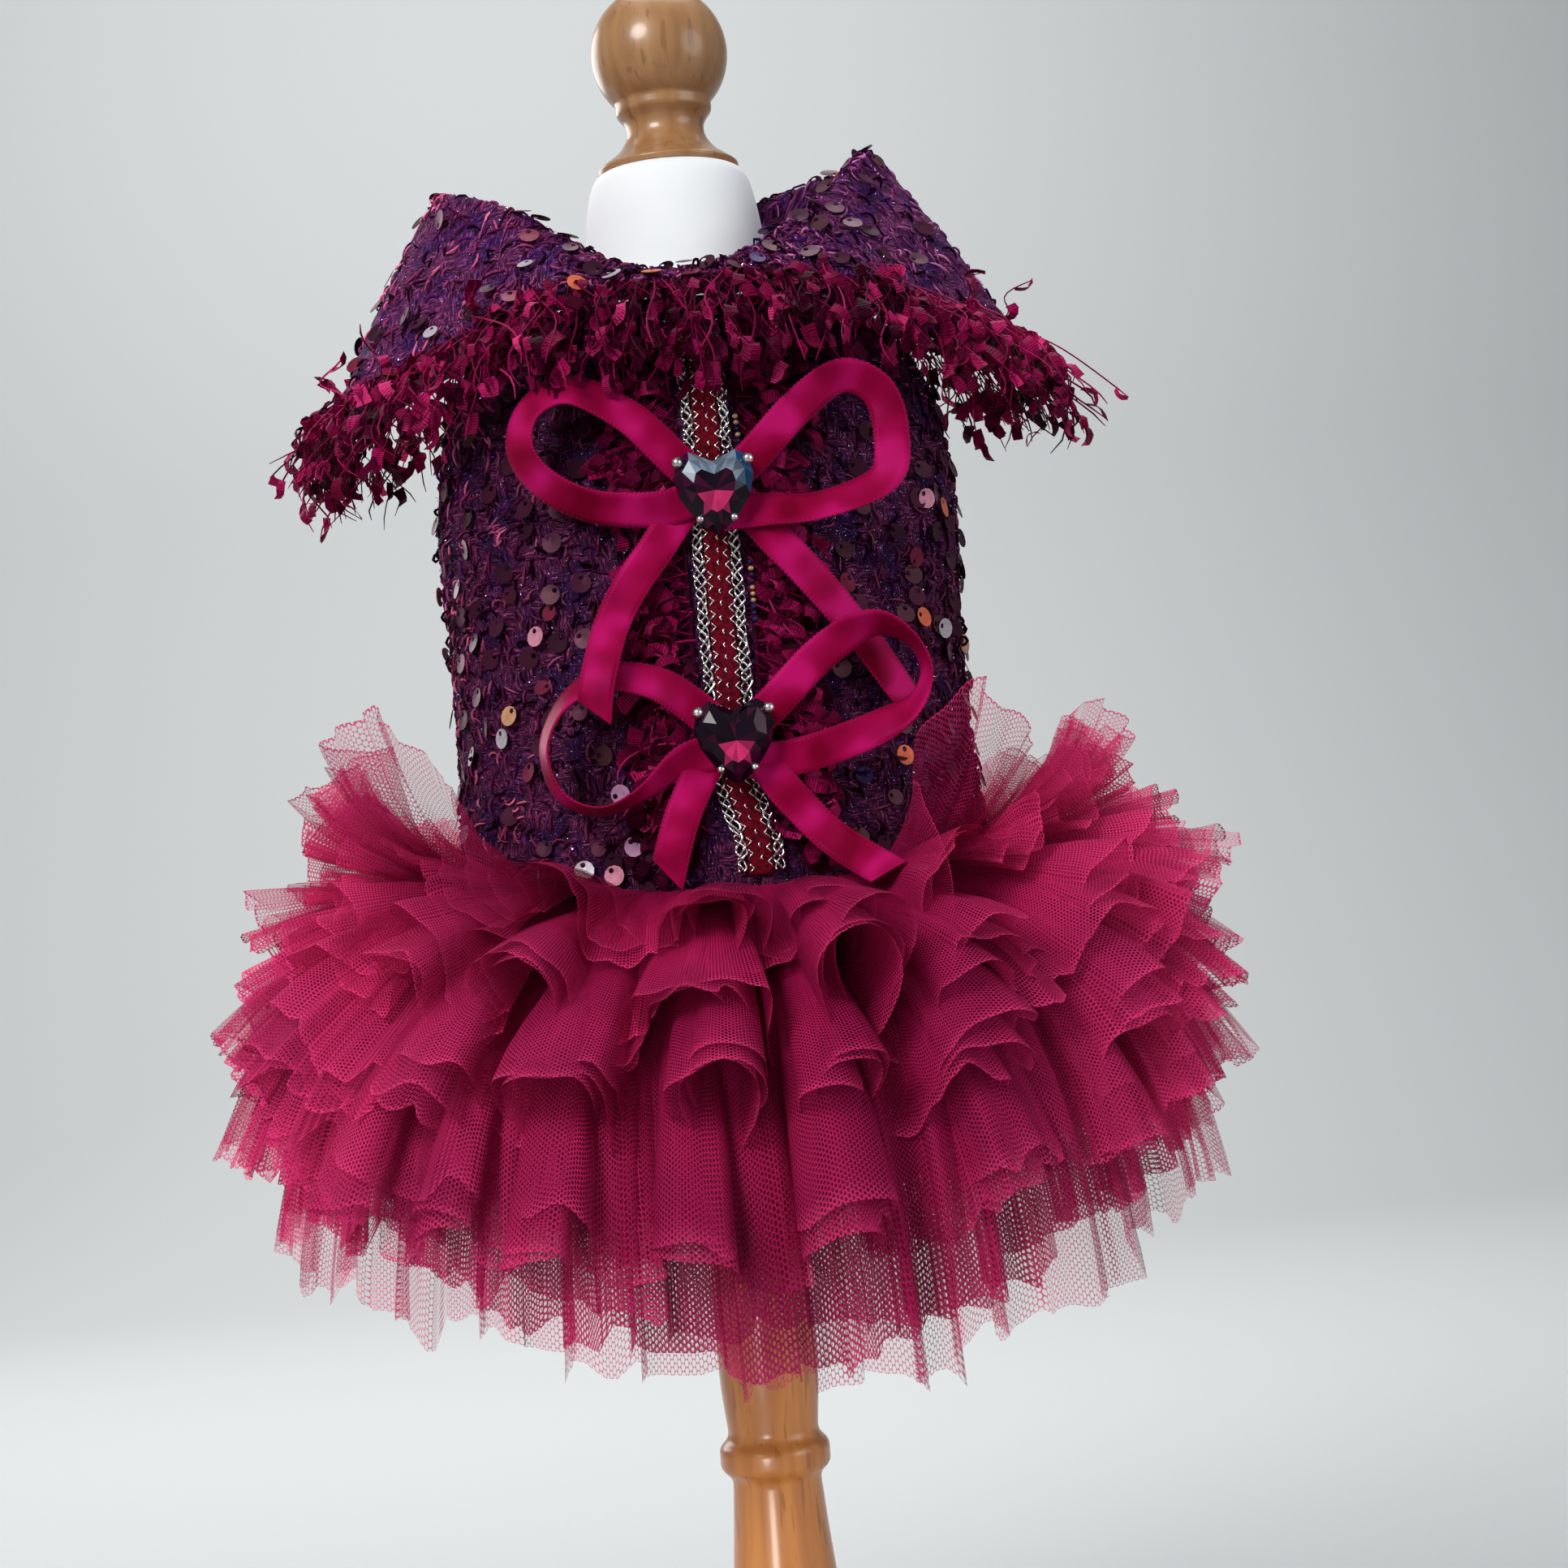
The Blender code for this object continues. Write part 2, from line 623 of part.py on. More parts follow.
def make_placket_fringe(name, side):
    """Fringe beside the braid: its backing runs up the panel and its strands fan outwards."""
    inner = CHAIN_OFFSET + CHAIN_HALF_WIDTH + TOUCH_GAP
    outer = inner + BACKING_WIDTH
    low_lift, high_lift = BRAID_LIFT, BRAID_LIFT + BACKING_CLOTH
    bottom, top = BRAID_BOTTOM + PLACKET_START, BRAID_TOP - PLACKET_END
    stations = []
    for index in range(PLACKET_STRANDS + 1):
        share = index / PLACKET_STRANDS
        height = bottom + (top - bottom) * (share if side > 0 else 1 - share)
        corners = [(inner, high_lift), (inner, low_lift), (outer, low_lift), (outer, high_lift)]
        stations.append([body_point_across(side * across, height, lift) for across, lift in corners])

    def strand_of(cell, station):
        outward = (station[2] - station[1]).normalized()
        length = (21 + spread(cell, 0.618, 0, 6)) * MM
        tilt = Vector((0, 0, spread(cell, 0.382, 0.0, 0.2)))
        facing = Vector((station[2].x, station[2].y, 0)).normalized()
        return Strand((outward + tilt).normalized(), facing, 0.55, length)

    def keep_clear(point):
        angle = math.atan2(point.x, -point.y)
        reach = body_reach(angle, point.z, CLOTH + 1.6 * MM)
        return Vector((reach * math.sin(angle), -reach * math.cos(angle), point.z))

    return make_fringe(name, stations, strand_of, keep_clear)


def make_ribbon(name, centres, widths):
    """A ribbon: an open strip of two edge lines beside its middle points, given a wall."""
    vertices = []
    for share in (-0.5, 0.5):
        for centre, width in zip(centres, widths):
            vertices.append(centre + width * share * RIBBON_WIDTH)
    item = add_object(name, vertices, grid_faces(2, len(centres)), SATIN)
    add_wall(item, RIBBON_CLOTH, 0.0)
    shade_smooth(item, 60)
    return item


def route_samples(route, count):
    """Smooth positions along a route, as route points."""
    last = len(route) - 1
    samples = []
    for index in range(count + 1):
        place = last * index / count
        samples.append(RoutePoint(*[curve_value([getattr(point, column) for point in route], place)
                                    for column in RoutePoint._fields]))
    return samples


def ribbon_widths(samples):
    """In-plane normals along sampled points, turned out of the panel by each sample's turn."""
    widths = []
    for index, sample in enumerate(samples):
        before = samples[max(index - 1, 0)]
        after = samples[min(index + 1, len(samples) - 1)]
        tangent = Vector((after.across - before.across, after.up - before.up)).normalized()
        angle = math.radians(sample.turn)
        widths.append(Vector((-tangent.y * math.cos(angle), -math.sin(angle), tangent.x * math.cos(angle))))
    return widths


def make_bow(name, left, right, height):
    """Both loops of one ribbon: out to the left and back, across the middle, out to the right and back."""
    samples = route_samples(left + right, 52)
    centres = []
    for sample in samples:
        level = height + sample.up * MM
        _, half_depth = body_radii(level)
        back = LOOP_FALL_BACK * (sample.across * MM) ** 2
        centres.append(Vector((sample.across * MM, -(half_depth + sample.lift * MM) + back, level)))
    return make_ribbon(name, centres, ribbon_widths(samples))


def make_tails(name, route, height, count):
    """Both tails of one ribbon, as one strip that turns over the middle and lies down the panel."""
    samples = route_samples(route, count)
    centres = []
    widths = []
    for sample, width in zip(samples, ribbon_widths(samples)):
        lift = sample.lift * MM
        level = height + sample.up * MM
        centre = body_point_across(sample.across * MM, level, lift)
        beside = width * RIBBON_WIDTH * 0.4
        edge = body_point_across(sample.across * MM + beside.x, level + beside.z, lift)
        centres.append(centre)
        widths.append((edge - centre).normalized())
    return make_ribbon(name, centres, widths)


def heart_outline(turn):
    """The stone's outline by its turn from 0 to 1: the notch is at 0 and the point at a half."""
    angle = math.tau * turn
    across = 0.55 * math.sin(angle) ** 3 + 0.45 * math.sin(angle)
    up = 13 * math.cos(angle) - 5 * math.cos(2 * angle) - 2 * math.cos(3 * angle) - math.cos(4 * angle)
    return Vector((across * HEART_WIDTH / 2, (up + 3) / 28 * HEART_HEIGHT))


def heart_ring(scale, depth, height, count=20):
    _, half_depth = body_radii(height)
    ring = []
    for index in range(count):
        outline = heart_outline((index + 0.5) / count) * scale
        ring.append(Vector((outline.x, -(half_depth + depth), height + outline.y)))
    return ring


def make_layered(name, rings, material):
    count = len(rings[0])
    vertices = [point for ring in rings for point in ring]
    faces = grid_faces(len(rings), count, closed=True)
    faces.append(tuple(reversed(range(count))))
    start = (len(rings) - 1) * count
    faces.append(tuple(range(start, start + count)))
    item = add_object(name, vertices, faces, material)
    face_outwards(item)
    return item


def face_outwards(item):
    """Turn the faces outwards, whichever way the rings ran."""
    shape = bmesh.new()
    shape.from_mesh(item.data)
    bmesh.ops.recalc_face_normals(shape, faces=shape.faces)
    shape.to_mesh(item.data)
    shape.free()


def make_heart(name, height):
    girdle = HEART_LIFT + 0.36 * HEART_DEPTH
    rings = [heart_ring(0.6, HEART_LIFT, height), heart_ring(1.0, girdle, height),
             heart_ring(1.0, girdle + 0.06 * HEART_DEPTH, height),
             heart_ring(0.6, HEART_LIFT + HEART_DEPTH, height)]
    return make_layered(name, rings, CRYSTAL)


def make_setting(name, height):
    """The claw setting: a heart plate behind the stone, joined to four claws that hold its edge."""
    plate = make_layered(name, [heart_ring(0.9, SETTING_LIFT, height),
                                heart_ring(0.9, SETTING_LIFT + SETTING_PLATE, height)], SILVER)
    _, half_depth = body_radii(height)
    claws = bmesh.new()
    claw_radius = 0.8 * MM
    foot = SETTING_LIFT + 0.05 * MM
    head = HEART_LIFT + 0.66 * HEART_DEPTH
    for turn in CLAW_TURNS:
        along = heart_outline(turn + 0.01) - heart_outline(turn - 0.01)
        aside = Vector((-along.y, along.x)).normalized()
        outer = heart_outline(turn) + aside * (claw_radius + 0.4 * MM)
        inner = heart_outline(turn) - aside * 3 * MM
        bar = bmesh.ops.create_cone(claws, cap_ends=True, segments=6, radius1=0.4 * MM, radius2=0.4 * MM,
                                    depth=(outer - inner).length)["verts"]
        aim = Vector((outer.x - inner.x, 0, outer.y - inner.y)).normalized()
        turn_to = Vector((0, 0, 1)).rotation_difference(aim)
        place = Vector(((inner.x + outer.x) / 2, -(half_depth + SETTING_LIFT + SETTING_PLATE / 2),
                        height + (inner.y + outer.y) / 2))
        for vertex in bar:
            vertex.co = turn_to @ vertex.co + place
        upright = bmesh.ops.create_cone(claws, cap_ends=True, segments=6, radius1=claw_radius,
                                        radius2=claw_radius, depth=head - foot)["verts"]
        turn_to = Vector((0, 0, 1)).rotation_difference(Vector((0, -1, 0)))
        place = Vector((outer.x, -(half_depth + (foot + head) / 2), height + outer.y))
        for vertex in upright:
            vertex.co = turn_to @ vertex.co + place
        knob = bmesh.ops.create_icosphere(claws, subdivisions=1, radius=1.35 * MM)["verts"]
        place = Vector((outer.x, -(half_depth + head), height + outer.y))
        for vertex in knob:
            vertex.co = vertex.co + place
    mesh = bpy.data.meshes.new(name + "_claws")
    claws.to_mesh(mesh)
    claws.free()
    cutter = bpy.data.objects.new(name + "_claws", mesh)
    cutter.hide_render = True
    cutter.display_type = "WIRE"
    CUTTERS.objects.link(cutter)
    join = plate.modifiers.new("claws", "BOOLEAN")
    join.operation = "UNION"
    join.use_self = True
    join.object = cutter
    return plate


def tier_point(tier, number, column, share):
    """A point of a tier: a curve from root to rim, with the ruffle across it growing to the rim."""
    count = 2 * TIER_WAVES
    turn = math.tau * column / count
    side = math.sin(turn) ** 2
    root = body_point(turn, tier.root * MM + TIER_SIDE_RAISE * side, TIER_ROOT_LIFT + closure_rise(turn))
    rim_height = tier.side_height * side + tier.front_height * (1 - side)
    rim = Vector((tier.side_reach * math.sin(turn), -tier.front_reach * math.cos(turn), rim_height)) * MM
    span = rim - root
    outward = Vector((span.x, span.y, 0)).normalized()
    bend = root + outward * span.length * 0.5 + Vector((0, 0, tier.arch * MM))
    point = root * (1 - share) ** 2 + bend * 2 * share * (1 - share) + rim * share ** 2
    heading = ((bend - root) * (1 - share) + (rim - bend) * share).normalized()
    tangent = Vector((0, 0, 1)).cross(outward)
    normal = heading.cross(tangent).normalized()
    wave = (tier.side_wave * side + tier.front_wave * (1 - side)) * MM
    growth = share ** 1.3
    sign = 1 if column % 2 else -1
    uneven = 1 + 0.24 * math.sin(2.39 * column) + 0.07 * math.sin(1.3 * column + number)
    aside = TIER_WANDER * growth * (math.sin(1.7 * column) + 0.3 * math.sin(0.7 * column + number))
    reach = TIER_WANDER * 1.6 * growth * math.sin(0.9 * column + 1.3 * number)
    return point + normal * sign * wave * growth * uneven + tangent * aside + heading * reach


def make_tier(number, tier):
    count = 2 * TIER_WAVES
    vertices = []
    for row in range(TIER_ROWS + 1):
        for column in range(count):
            vertices.append(tier_point(tier, number, column, row / TIER_ROWS))
    faces = [tuple(reversed(face)) for face in grid_faces(TIER_ROWS + 1, count, closed=True)]
    item = add_object(f"tulle_tier_{number}", vertices, faces, NET)
    add_wall(item, TULLE, 0.0)
    return item


def main():
    make_base()
    make_post()
    make_torso()
    make_finial()
    make_bodice()
    make_collar()
    make_collar_fringe()
    make_braid()
    make_placket_fringe("placket_fringe_left", -1)
    make_placket_fringe("placket_fringe_right", 1)
    make_bow("bow_top", BOW_TOP_LEFT, BOW_TOP_RIGHT, BOW_TOP_HEIGHT)
    make_bow("bow_bottom", BOW_BOTTOM_LEFT, BOW_BOTTOM_RIGHT, BOW_BOTTOM_HEIGHT)
    make_tails("bow_top_tails", TAILS_TOP, BOW_TOP_HEIGHT, 20)
    make_tails("bow_bottom_tails", TAILS_BOTTOM, BOW_BOTTOM_HEIGHT, 14)
    for name, height in (("top", BOW_TOP_HEIGHT), ("bottom", BOW_BOTTOM_HEIGHT)):
        make_setting("setting_" + name, height)
        make_heart("heart_" + name, height)
    for number, tier in enumerate(TIERS, start=1):
        make_tier(number, tier)


main()
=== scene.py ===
# The looks of a dog's tutu dress on its dress form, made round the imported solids.
# Lengths are metres, +Z is up, and the side with the bows faces -Y.
import math

import bpy
import numpy as np
from mathutils import Matrix, Vector


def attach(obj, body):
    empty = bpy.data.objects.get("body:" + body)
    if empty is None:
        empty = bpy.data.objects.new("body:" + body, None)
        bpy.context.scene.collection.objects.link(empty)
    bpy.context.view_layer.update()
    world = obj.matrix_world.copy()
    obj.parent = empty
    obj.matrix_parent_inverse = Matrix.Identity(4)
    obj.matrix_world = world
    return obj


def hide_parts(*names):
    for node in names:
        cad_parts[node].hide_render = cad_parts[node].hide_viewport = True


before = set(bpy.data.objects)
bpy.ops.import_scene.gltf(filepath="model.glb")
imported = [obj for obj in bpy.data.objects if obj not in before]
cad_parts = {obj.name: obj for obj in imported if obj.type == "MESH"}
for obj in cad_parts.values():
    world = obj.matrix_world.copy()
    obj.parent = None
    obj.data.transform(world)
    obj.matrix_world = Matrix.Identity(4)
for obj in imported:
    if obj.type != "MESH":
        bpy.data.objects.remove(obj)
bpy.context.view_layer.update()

mm = 0.001
tau = 2 * math.pi


# Camera, stage and lights

cameraLook = {
    "place": (-0.064, -0.810, 0.320),
    "target": (0.019, 0.0, 0.3482),
    "roll": 4.81,  # degrees; the stand's top leans to the left
    "lens": 63.4,
    "sensor": 36.0,
}

stageLook = {
    "colour": (0.300, 0.307, 0.310),
    "halfWidth": 4.0,
    "front": -3.0,
    "wall": 1.5,
    "curve": 0.8,
    "height": 4.0,
}

# name, place, target, size, power in watts, colour
lightLooks = [
    ("keyLight", (-1.1, -1.5, 1.5), (0.0, 0.0, 0.38), 0.9, 34.0, (1.0, 0.985, 0.97)),
    ("fillLight", (1.5, -1.1, 0.75), (0.0, 0.0, 0.35), 1.3, 9.0, (0.95, 0.97, 1.0)),
    ("topLight", (0.1, 0.5, 1.9), (0.0, 0.0, 0.40), 1.1, 16.0, (1.0, 1.0, 1.0)),
    ("backLight", (-0.9, 1.3, 0.9), (0.0, 0.0, 0.30), 1.0, 8.0, (1.0, 0.99, 0.98)),
    ("backdropLight", (0.0, 0.7, 1.6), (0.0, 2.3, 0.5), 1.5, 58.0, (0.98, 1.0, 1.0)),
    ("postLight", (-0.30, -0.70, 0.10), (0.0, 0.0, 0.12), 0.20, 0.10, (1.0, 0.95, 0.88), 40),
]
worldLight = (0.92, 0.95, 1.0, 0.28)  # colour and strength


def makeCamera(look):
    # the axes look from the place to the target, then turn about the line of sight by the roll
    data = bpy.data.cameras.new("photoCamera")
    data.lens = look["lens"]
    data.sensor_width = look["sensor"]
    data.sensor_fit = "HORIZONTAL"
    data.clip_end = 20.0
    camera = bpy.data.objects.new("photoCamera", data)
    bpy.context.scene.collection.objects.link(camera)
    place = Vector(look["place"])
    sight = (Vector(look["target"]) - place).normalized()
    level = sight.cross(Vector((0, 0, 1))).normalized()
    upright = level.cross(sight)
    roll = math.radians(look["roll"])
    right = level * math.cos(roll) - upright * math.sin(roll)
    up = level * math.sin(roll) + upright * math.cos(roll)
    camera.matrix_world = Matrix.Translation(place) @ Matrix((right, up, -sight)).transposed().to_4x4()
    bpy.context.scene.camera = camera


def makeLight(name, place, target, size, power, colour, spread=180):
    data = bpy.data.lights.new(name, "AREA")
    data.shape = "DISK"
    data.size = size
    data.energy = power
    data.color = colour
    data.spread = math.radians(spread)
    light = bpy.data.objects.new(name, data)
    bpy.context.scene.collection.objects.link(light)
    aim = Vector(target) - Vector(place)
    light.matrix_world = Matrix.Translation(place) @ aim.to_track_quat("-Z", "Y").to_matrix().to_4x4()


def makeWorld(light):
    world = bpy.data.worlds.new("softSky")
    world.use_nodes = True
    background = world.node_tree.nodes["Background"]
    background.inputs["Color"].default_value = (*light[:3], 1.0)
    background.inputs["Strength"].default_value = light[3]
    bpy.context.scene.world = world
    bpy.context.scene.view_settings.view_transform = "Standard"


# Node helpers

def newMaterial(name, inputs):
    material = bpy.data.materials.new(name)
    material.use_nodes = True
    shader = material.node_tree.nodes["Principled BSDF"]
    for key, value in inputs.items():
        shader.inputs[key].default_value = value
    return material, shader


def addNode(material, kind, inputs=None, **settings):
    # a node with its settings, and its inputs set to numbers or wired to sockets
    made = material.node_tree.nodes.new(kind)
    for key, value in settings.items():
        setattr(made, key, value)
    for key, value in (inputs or {}).items():
        if isinstance(value, bpy.types.NodeSocket):
            material.node_tree.links.new(value, made.inputs[key])
        else:
            made.inputs[key].default_value = value
    return made


def wire(material, socket, shader, key):
    material.node_tree.links.new(socket, shader.inputs[key])


def calculate(material, operation, first, second=0.0):
    return addNode(material, "ShaderNodeMath", {0: first, 1: second}, operation=operation).outputs[0]


def mixColours(material, factor, first, second, blend="MIX"):
    made = addNode(material, "ShaderNodeMix", {0: factor, 6: first, 7: second}, data_type="RGBA",
                   blend_type=blend)
    return made.outputs[2]


def fromRange(material, value, low, high, toLow=0.0, toHigh=1.0):
    made = addNode(material, "ShaderNodeMapRange",
                   {"Value": value, "From Min": low, "From Max": high, "To Min": toLow, "To Max": toHigh})
    return made.outputs["Result"]


def noise(material, place, scale, detail=2.0, stretch=(1, 1, 1), roughness=0.5):
    # smooth noise on a place, stretched by a Mapping node
    mapped = addNode(material, "ShaderNodeMapping", {"Vector": place, "Scale": stretch}).outputs[0]
    made = addNode(material, "ShaderNodeTexNoise",
                   {"Vector": mapped, "Scale": scale, "Detail": detail, "Roughness": roughness})
    return made.outputs["Fac"]


def colourRamp(material, value, stops):
    # stops are (place, linear colour)
    made = addNode(material, "ShaderNodeValToRGB", {"Fac": value})
    ramp = made.color_ramp
    while len(ramp.elements) < len(stops):
        ramp.elements.new(0.5)
    for element, (place, colour) in zip(ramp.elements, stops):
        element.position = place
        element.color = (*colour, 1.0)
    return made.outputs["Color"]


def bump(material, height, shader, strength, distance):
    made = addNode(material, "ShaderNodeBump",
                   {"Height": height, "Strength": strength, "Distance": distance})
    wire(material, made.outputs["Normal"], shader, "Normal")


def objectPlace(material):
    return addNode(material, "ShaderNodeTexCoord").outputs["Object"]


def flatPlace(material):
    # the piece's own map, in millimetres of cloth
    return addNode(material, "ShaderNodeUVMap", uv_map="cloth").outputs["UV"]


def tintOf(material):
    return addNode(material, "ShaderNodeAttribute", attribute_name="tint").outputs["Color"]


# Materials

def beechMaterial(name, upright, paintedLightTint=(1.0, 1.0, 1.0)):
    # pale beech: long soft grain up the turned pieces or across the base, dark flecks and clear varnish,
    # times a tint of painted light
    material, shader = newMaterial(name, {"Roughness": 0.38, "Coat Weight": 0.5, "Coat Roughness": 0.16})
    place = objectPlace(material)
    grain = noise(material, place, 180.0, 3.0, (1, 1, 0.06) if upright else (0.06, 1, 1))
    broad = noise(material, place, 26.0, 2.0, (1, 1, 0.25) if upright else (0.25, 1, 1))
    wood = colourRamp(material, grain, [(0.30, (0.30, 0.135, 0.048)), (0.55, (0.42, 0.215, 0.085)),
                                        (0.75, (0.50, 0.285, 0.125))])
    wood = mixColours(material, fromRange(material, broad, 0.35, 0.7, 0.0, 0.5), wood,
                      (0.34, 0.155, 0.055, 1.0))
    flecks = noise(material, place, 420.0, 1.0, (1, 1, 0.12) if upright else (0.12, 1, 1))
    marks = fromRange(material, flecks, 0.63, 0.70)
    wood = mixColours(material, calculate(material, "MULTIPLY", marks, 0.55), wood,
                      (0.20, 0.085, 0.03, 1.0))
    # painted light: a tint multiplied in, which makes the post brighter and more orange than the same beech
    # elsewhere
    wood = mixColours(material, 1.0, wood, (*paintedLightTint, 1.0), "MULTIPLY")
    wire(material, wood, shader, "Base Color")
    bump(material, grain, shader, 0.12, 0.0002)
    return material


def coverMaterial():
    # white stretch cover with a fine knit
    material, shader = newMaterial("whiteCover", {"Roughness": 0.8, "Sheen Weight": 0.2})
    place = objectPlace(material)
    cloudy = noise(material, place, 30.0, 2.0)
    wire(material, colourRamp(material, cloudy, [(0.3, (0.85, 0.89, 0.92)), (0.7, (0.91, 0.935, 0.95))]),
         shader, "Base Color")
    knit = noise(material, place, 1500.0, 1.0, (1, 1, 0.6))
    bump(material, knit, shader, 0.15, 0.0001)
    return material


def tweedMaterial(name, paintedLightTint):
    # patches of upright and level threads, from black plum to mauve, with violet and silver glints, times a
    # tint of painted light
    material, shader = newMaterial(name, {"Specular IOR Level": 0.1})
    place = flatPlace(material)
    drift = addNode(material, "ShaderNodeTexNoise", {"Vector": place, "Scale": 0.22, "Detail": 2.0})
    moved = addNode(material, "ShaderNodeVectorMath", {0: drift.outputs["Color"], 1: (3.0, 3.0, 0.0)},
                    operation="MULTIPLY").outputs[0]
    moved = addNode(material, "ShaderNodeVectorMath", {0: place, 1: moved}, operation="ADD").outputs[0]
    upright = noise(material, moved, 1.0, 3.0, (2.3, 0.30, 1), 0.6)
    level = noise(material, moved, 1.0, 3.0, (0.28, 2.1, 1), 0.6)
    patches = fromRange(material, noise(material, place, 0.15, 1.0), 0.46, 0.54)
    threads = calculate(material, "ADD", calculate(material, "MULTIPLY", upright, patches),
                        calculate(material, "MULTIPLY", level, calculate(material, "SUBTRACT", 1.0, patches)))
    yarn = colourRamp(material, threads, [(0.40, (0.004, 0.0006, 0.005)), (0.50, (0.046, 0.004, 0.030)),
                                          (0.58, (0.135, 0.016, 0.078)), (0.70, (0.320, 0.066, 0.175))])
    navy = colourRamp(material, threads, [(0.42, (0.004, 0.0006, 0.008)), (0.58, (0.040, 0.004, 0.060)),
                                          (0.72, (0.140, 0.026, 0.190))])
    broad = fromRange(material, noise(material, place, 0.085, 2.0), 0.46, 0.64)
    # painted light: the tint multiplied in makes a lit copy of the tweed
    colour = mixColours(material, 1.0, mixColours(material, broad, yarn, navy), (*paintedLightTint, 1.0), "MULTIPLY")
    cells = addNode(material, "ShaderNodeTexVoronoi", {"Vector": moved, "Scale": 1.6})
    close = fromRange(material, cells.outputs["Distance"], 0.24, 0.14)
    chosen = addNode(material, "ShaderNodeSeparateColor", {"Color": cells.outputs["Color"]})
    lucky = fromRange(material, chosen.outputs[0], 0.66, 0.68)
    glint = calculate(material, "MULTIPLY", close, lucky)
    shine = mixColours(material, chosen.outputs[1], (0.20, 0.06, 0.50, 1.0), (0.62, 0.55, 0.72, 1.0))
    wire(material, mixColours(material, glint, colour, shine), shader, "Base Color")
    wire(material, calculate(material, "MULTIPLY", glint, 0.9), shader, "Metallic")
    wire(material, fromRange(material, glint, 0.0, 1.0, 0.75, 0.2), shader, "Roughness")
    bump(material, threads, shader, 0.8, 0.0005)
    return material


def yarnMaterial(name, ribs):
    # dyed yarn in its own tint, with ribs across the flags where it has them and painted shade in their
    # grooves
    material, shader = newMaterial(name, {"Roughness": 0.6 if ribs else 0.85,
                                          "Specular IOR Level": 0.10 if ribs else 0.08,
                                          "Specular Tint": (1.0, 0.3, 0.6, 1.0)})
    tint = tintOf(material)
    place = objectPlace(material)
    fine = noise(material, place, 1800.0, 2.0)
    colour = mixColours(material, fromRange(material, fine, 0.3, 0.7, 0.0, 0.45), tint,
                        (0.02, 0.0, 0.006, 1.0))
    height = fine
    if ribs:
        flat = flatPlace(material)
        wave = addNode(material, "ShaderNodeTexWave", {"Vector": flat, "Scale": 0.5, "Distortion": 0.3},
                       wave_type="BANDS", bands_direction="Y").outputs["Fac"]
        # painted shade in the grooves between the ribs
        colour = mixColours(material, fromRange(material, wave, 0.15, 0.6, 0.6, 0.0), colour,
                            (0.03, 0.0, 0.01, 1.0))
        height = wave
    wire(material, colour, shader, "Base Color")
    bump(material, height, shader, 0.5, 0.0002)
    return material


def glintMaterial(name, roughness, metallic):
    # small shiny pieces, each in its own tint
    material, shader = newMaterial(name, {"Roughness": roughness, "Metallic": metallic,
                                          "Specular IOR Level": 0.09, "Specular Tint": (1.0, 0.5, 0.7, 1.0)})
    tint = tintOf(material)
    cloudy = noise(material, objectPlace(material), 700.0, 1.0)
    wire(material, mixColours(material, fromRange(material, cloudy, 0.3, 0.7, 0.0, 0.25), tint,
                              (0.02, 0.01, 0.015, 1.0)), shader, "Base Color")
    return material


def silverMaterial():
    material, shader = newMaterial("silverBraid", {"Metallic": 1.0, "Roughness": 0.24})
    place = objectPlace(material)
    cloudy = noise(material, place, 900.0, 2.0)
    wire(material, colourRamp(material, cloudy, [(0.3, (0.52, 0.51, 0.50)), (0.6, (0.86, 0.85, 0.82))]),
         shader, "Base Color")
    bump(material, noise(material, place, 3000.0, 1.0), shader, 0.3, 0.0001)
    return material


def velvetMaterial():
    material, shader = newMaterial("crimsonVelvet", {"Roughness": 0.9, "Specular IOR Level": 0.1,
                                                     "Sheen Weight": 0.25, "Sheen Roughness": 0.35,
                                                     "Sheen Tint": (0.9, 0.05, 0.12, 1.0)})
    place = objectPlace(material)
    nap = noise(material, place, 900.0, 3.0)
    wire(material, colourRamp(material, nap, [(0.3, (0.030, 0.0004, 0.003)), (0.7, (0.19, 0.0015, 0.014))]),
         shader, "Base Color")
    bump(material, nap, shader, 0.6, 0.0004)
    return material


def satinMaterial():
    # magenta satin: fine ribs across the ribbon, a raised woven edge and a cool highlight
    material, shader = newMaterial("magentaSatin", {"Roughness": 0.42, "Specular IOR Level": 0.22,
                                                    "Specular Tint": (1.0, 0.05, 0.55, 1.0),
                                                    "Sheen Weight": 0.06, "Sheen Roughness": 0.3,
                                                    "Sheen Tint": (1.0, 0.05, 0.60, 1.0)})
    flat = flatPlace(material)
    broad = noise(material, flat, 0.06, 1.0)
    satin = colourRamp(material, broad, [(0.34, (0.165, 0.0007, 0.014)), (0.50, (0.300, 0.0022, 0.047)),
                                         (0.64, (0.500, 0.0070, 0.130))])
    parts = addNode(material, "ShaderNodeSeparateXYZ", {"Vector": flat})
    edge = calculate(material, "ABSOLUTE", parts.outputs[0])
    woven = fromRange(material, edge, 4.45, 4.6)
    satin = mixColours(material, calculate(material, "MULTIPLY", woven, 0.5), satin,
                       (0.32, 0.006, 0.07, 1.0))
    wire(material, satin, shader, "Base Color")
    weave = noise(material, flat, 1.0, 1.0, (0.4, 9.0, 1))
    picks = addNode(material, "ShaderNodeTexWave", {"Vector": flat, "Scale": 0.4}, wave_type="BANDS",
                    bands_direction="Y").outputs["Fac"]
    height = calculate(material, "ADD", calculate(material, "MULTIPLY", weave, 0.25),
                       calculate(material, "MULTIPLY", picks, woven))
    bump(material, height, shader, 0.25, 0.0002)
    return material


def crystalMaterial():
    # cut glass: each facet has its own tint, a painted reflection, under a hard clear surface
    material, shader = newMaterial("cutCrystal", {"Roughness": 0.06, "Specular IOR Level": 0.22,
                                                  "IOR": 1.5})
    tint = tintOf(material)
    cloudy = noise(material, objectPlace(material), 160.0, 1.0)
    wire(material, mixColours(material, fromRange(material, cloudy, 0.35, 0.65, 0.0, 0.35), tint,
                              (0.01, 0.0, 0.01, 1.0)), shader, "Base Color")
    return material


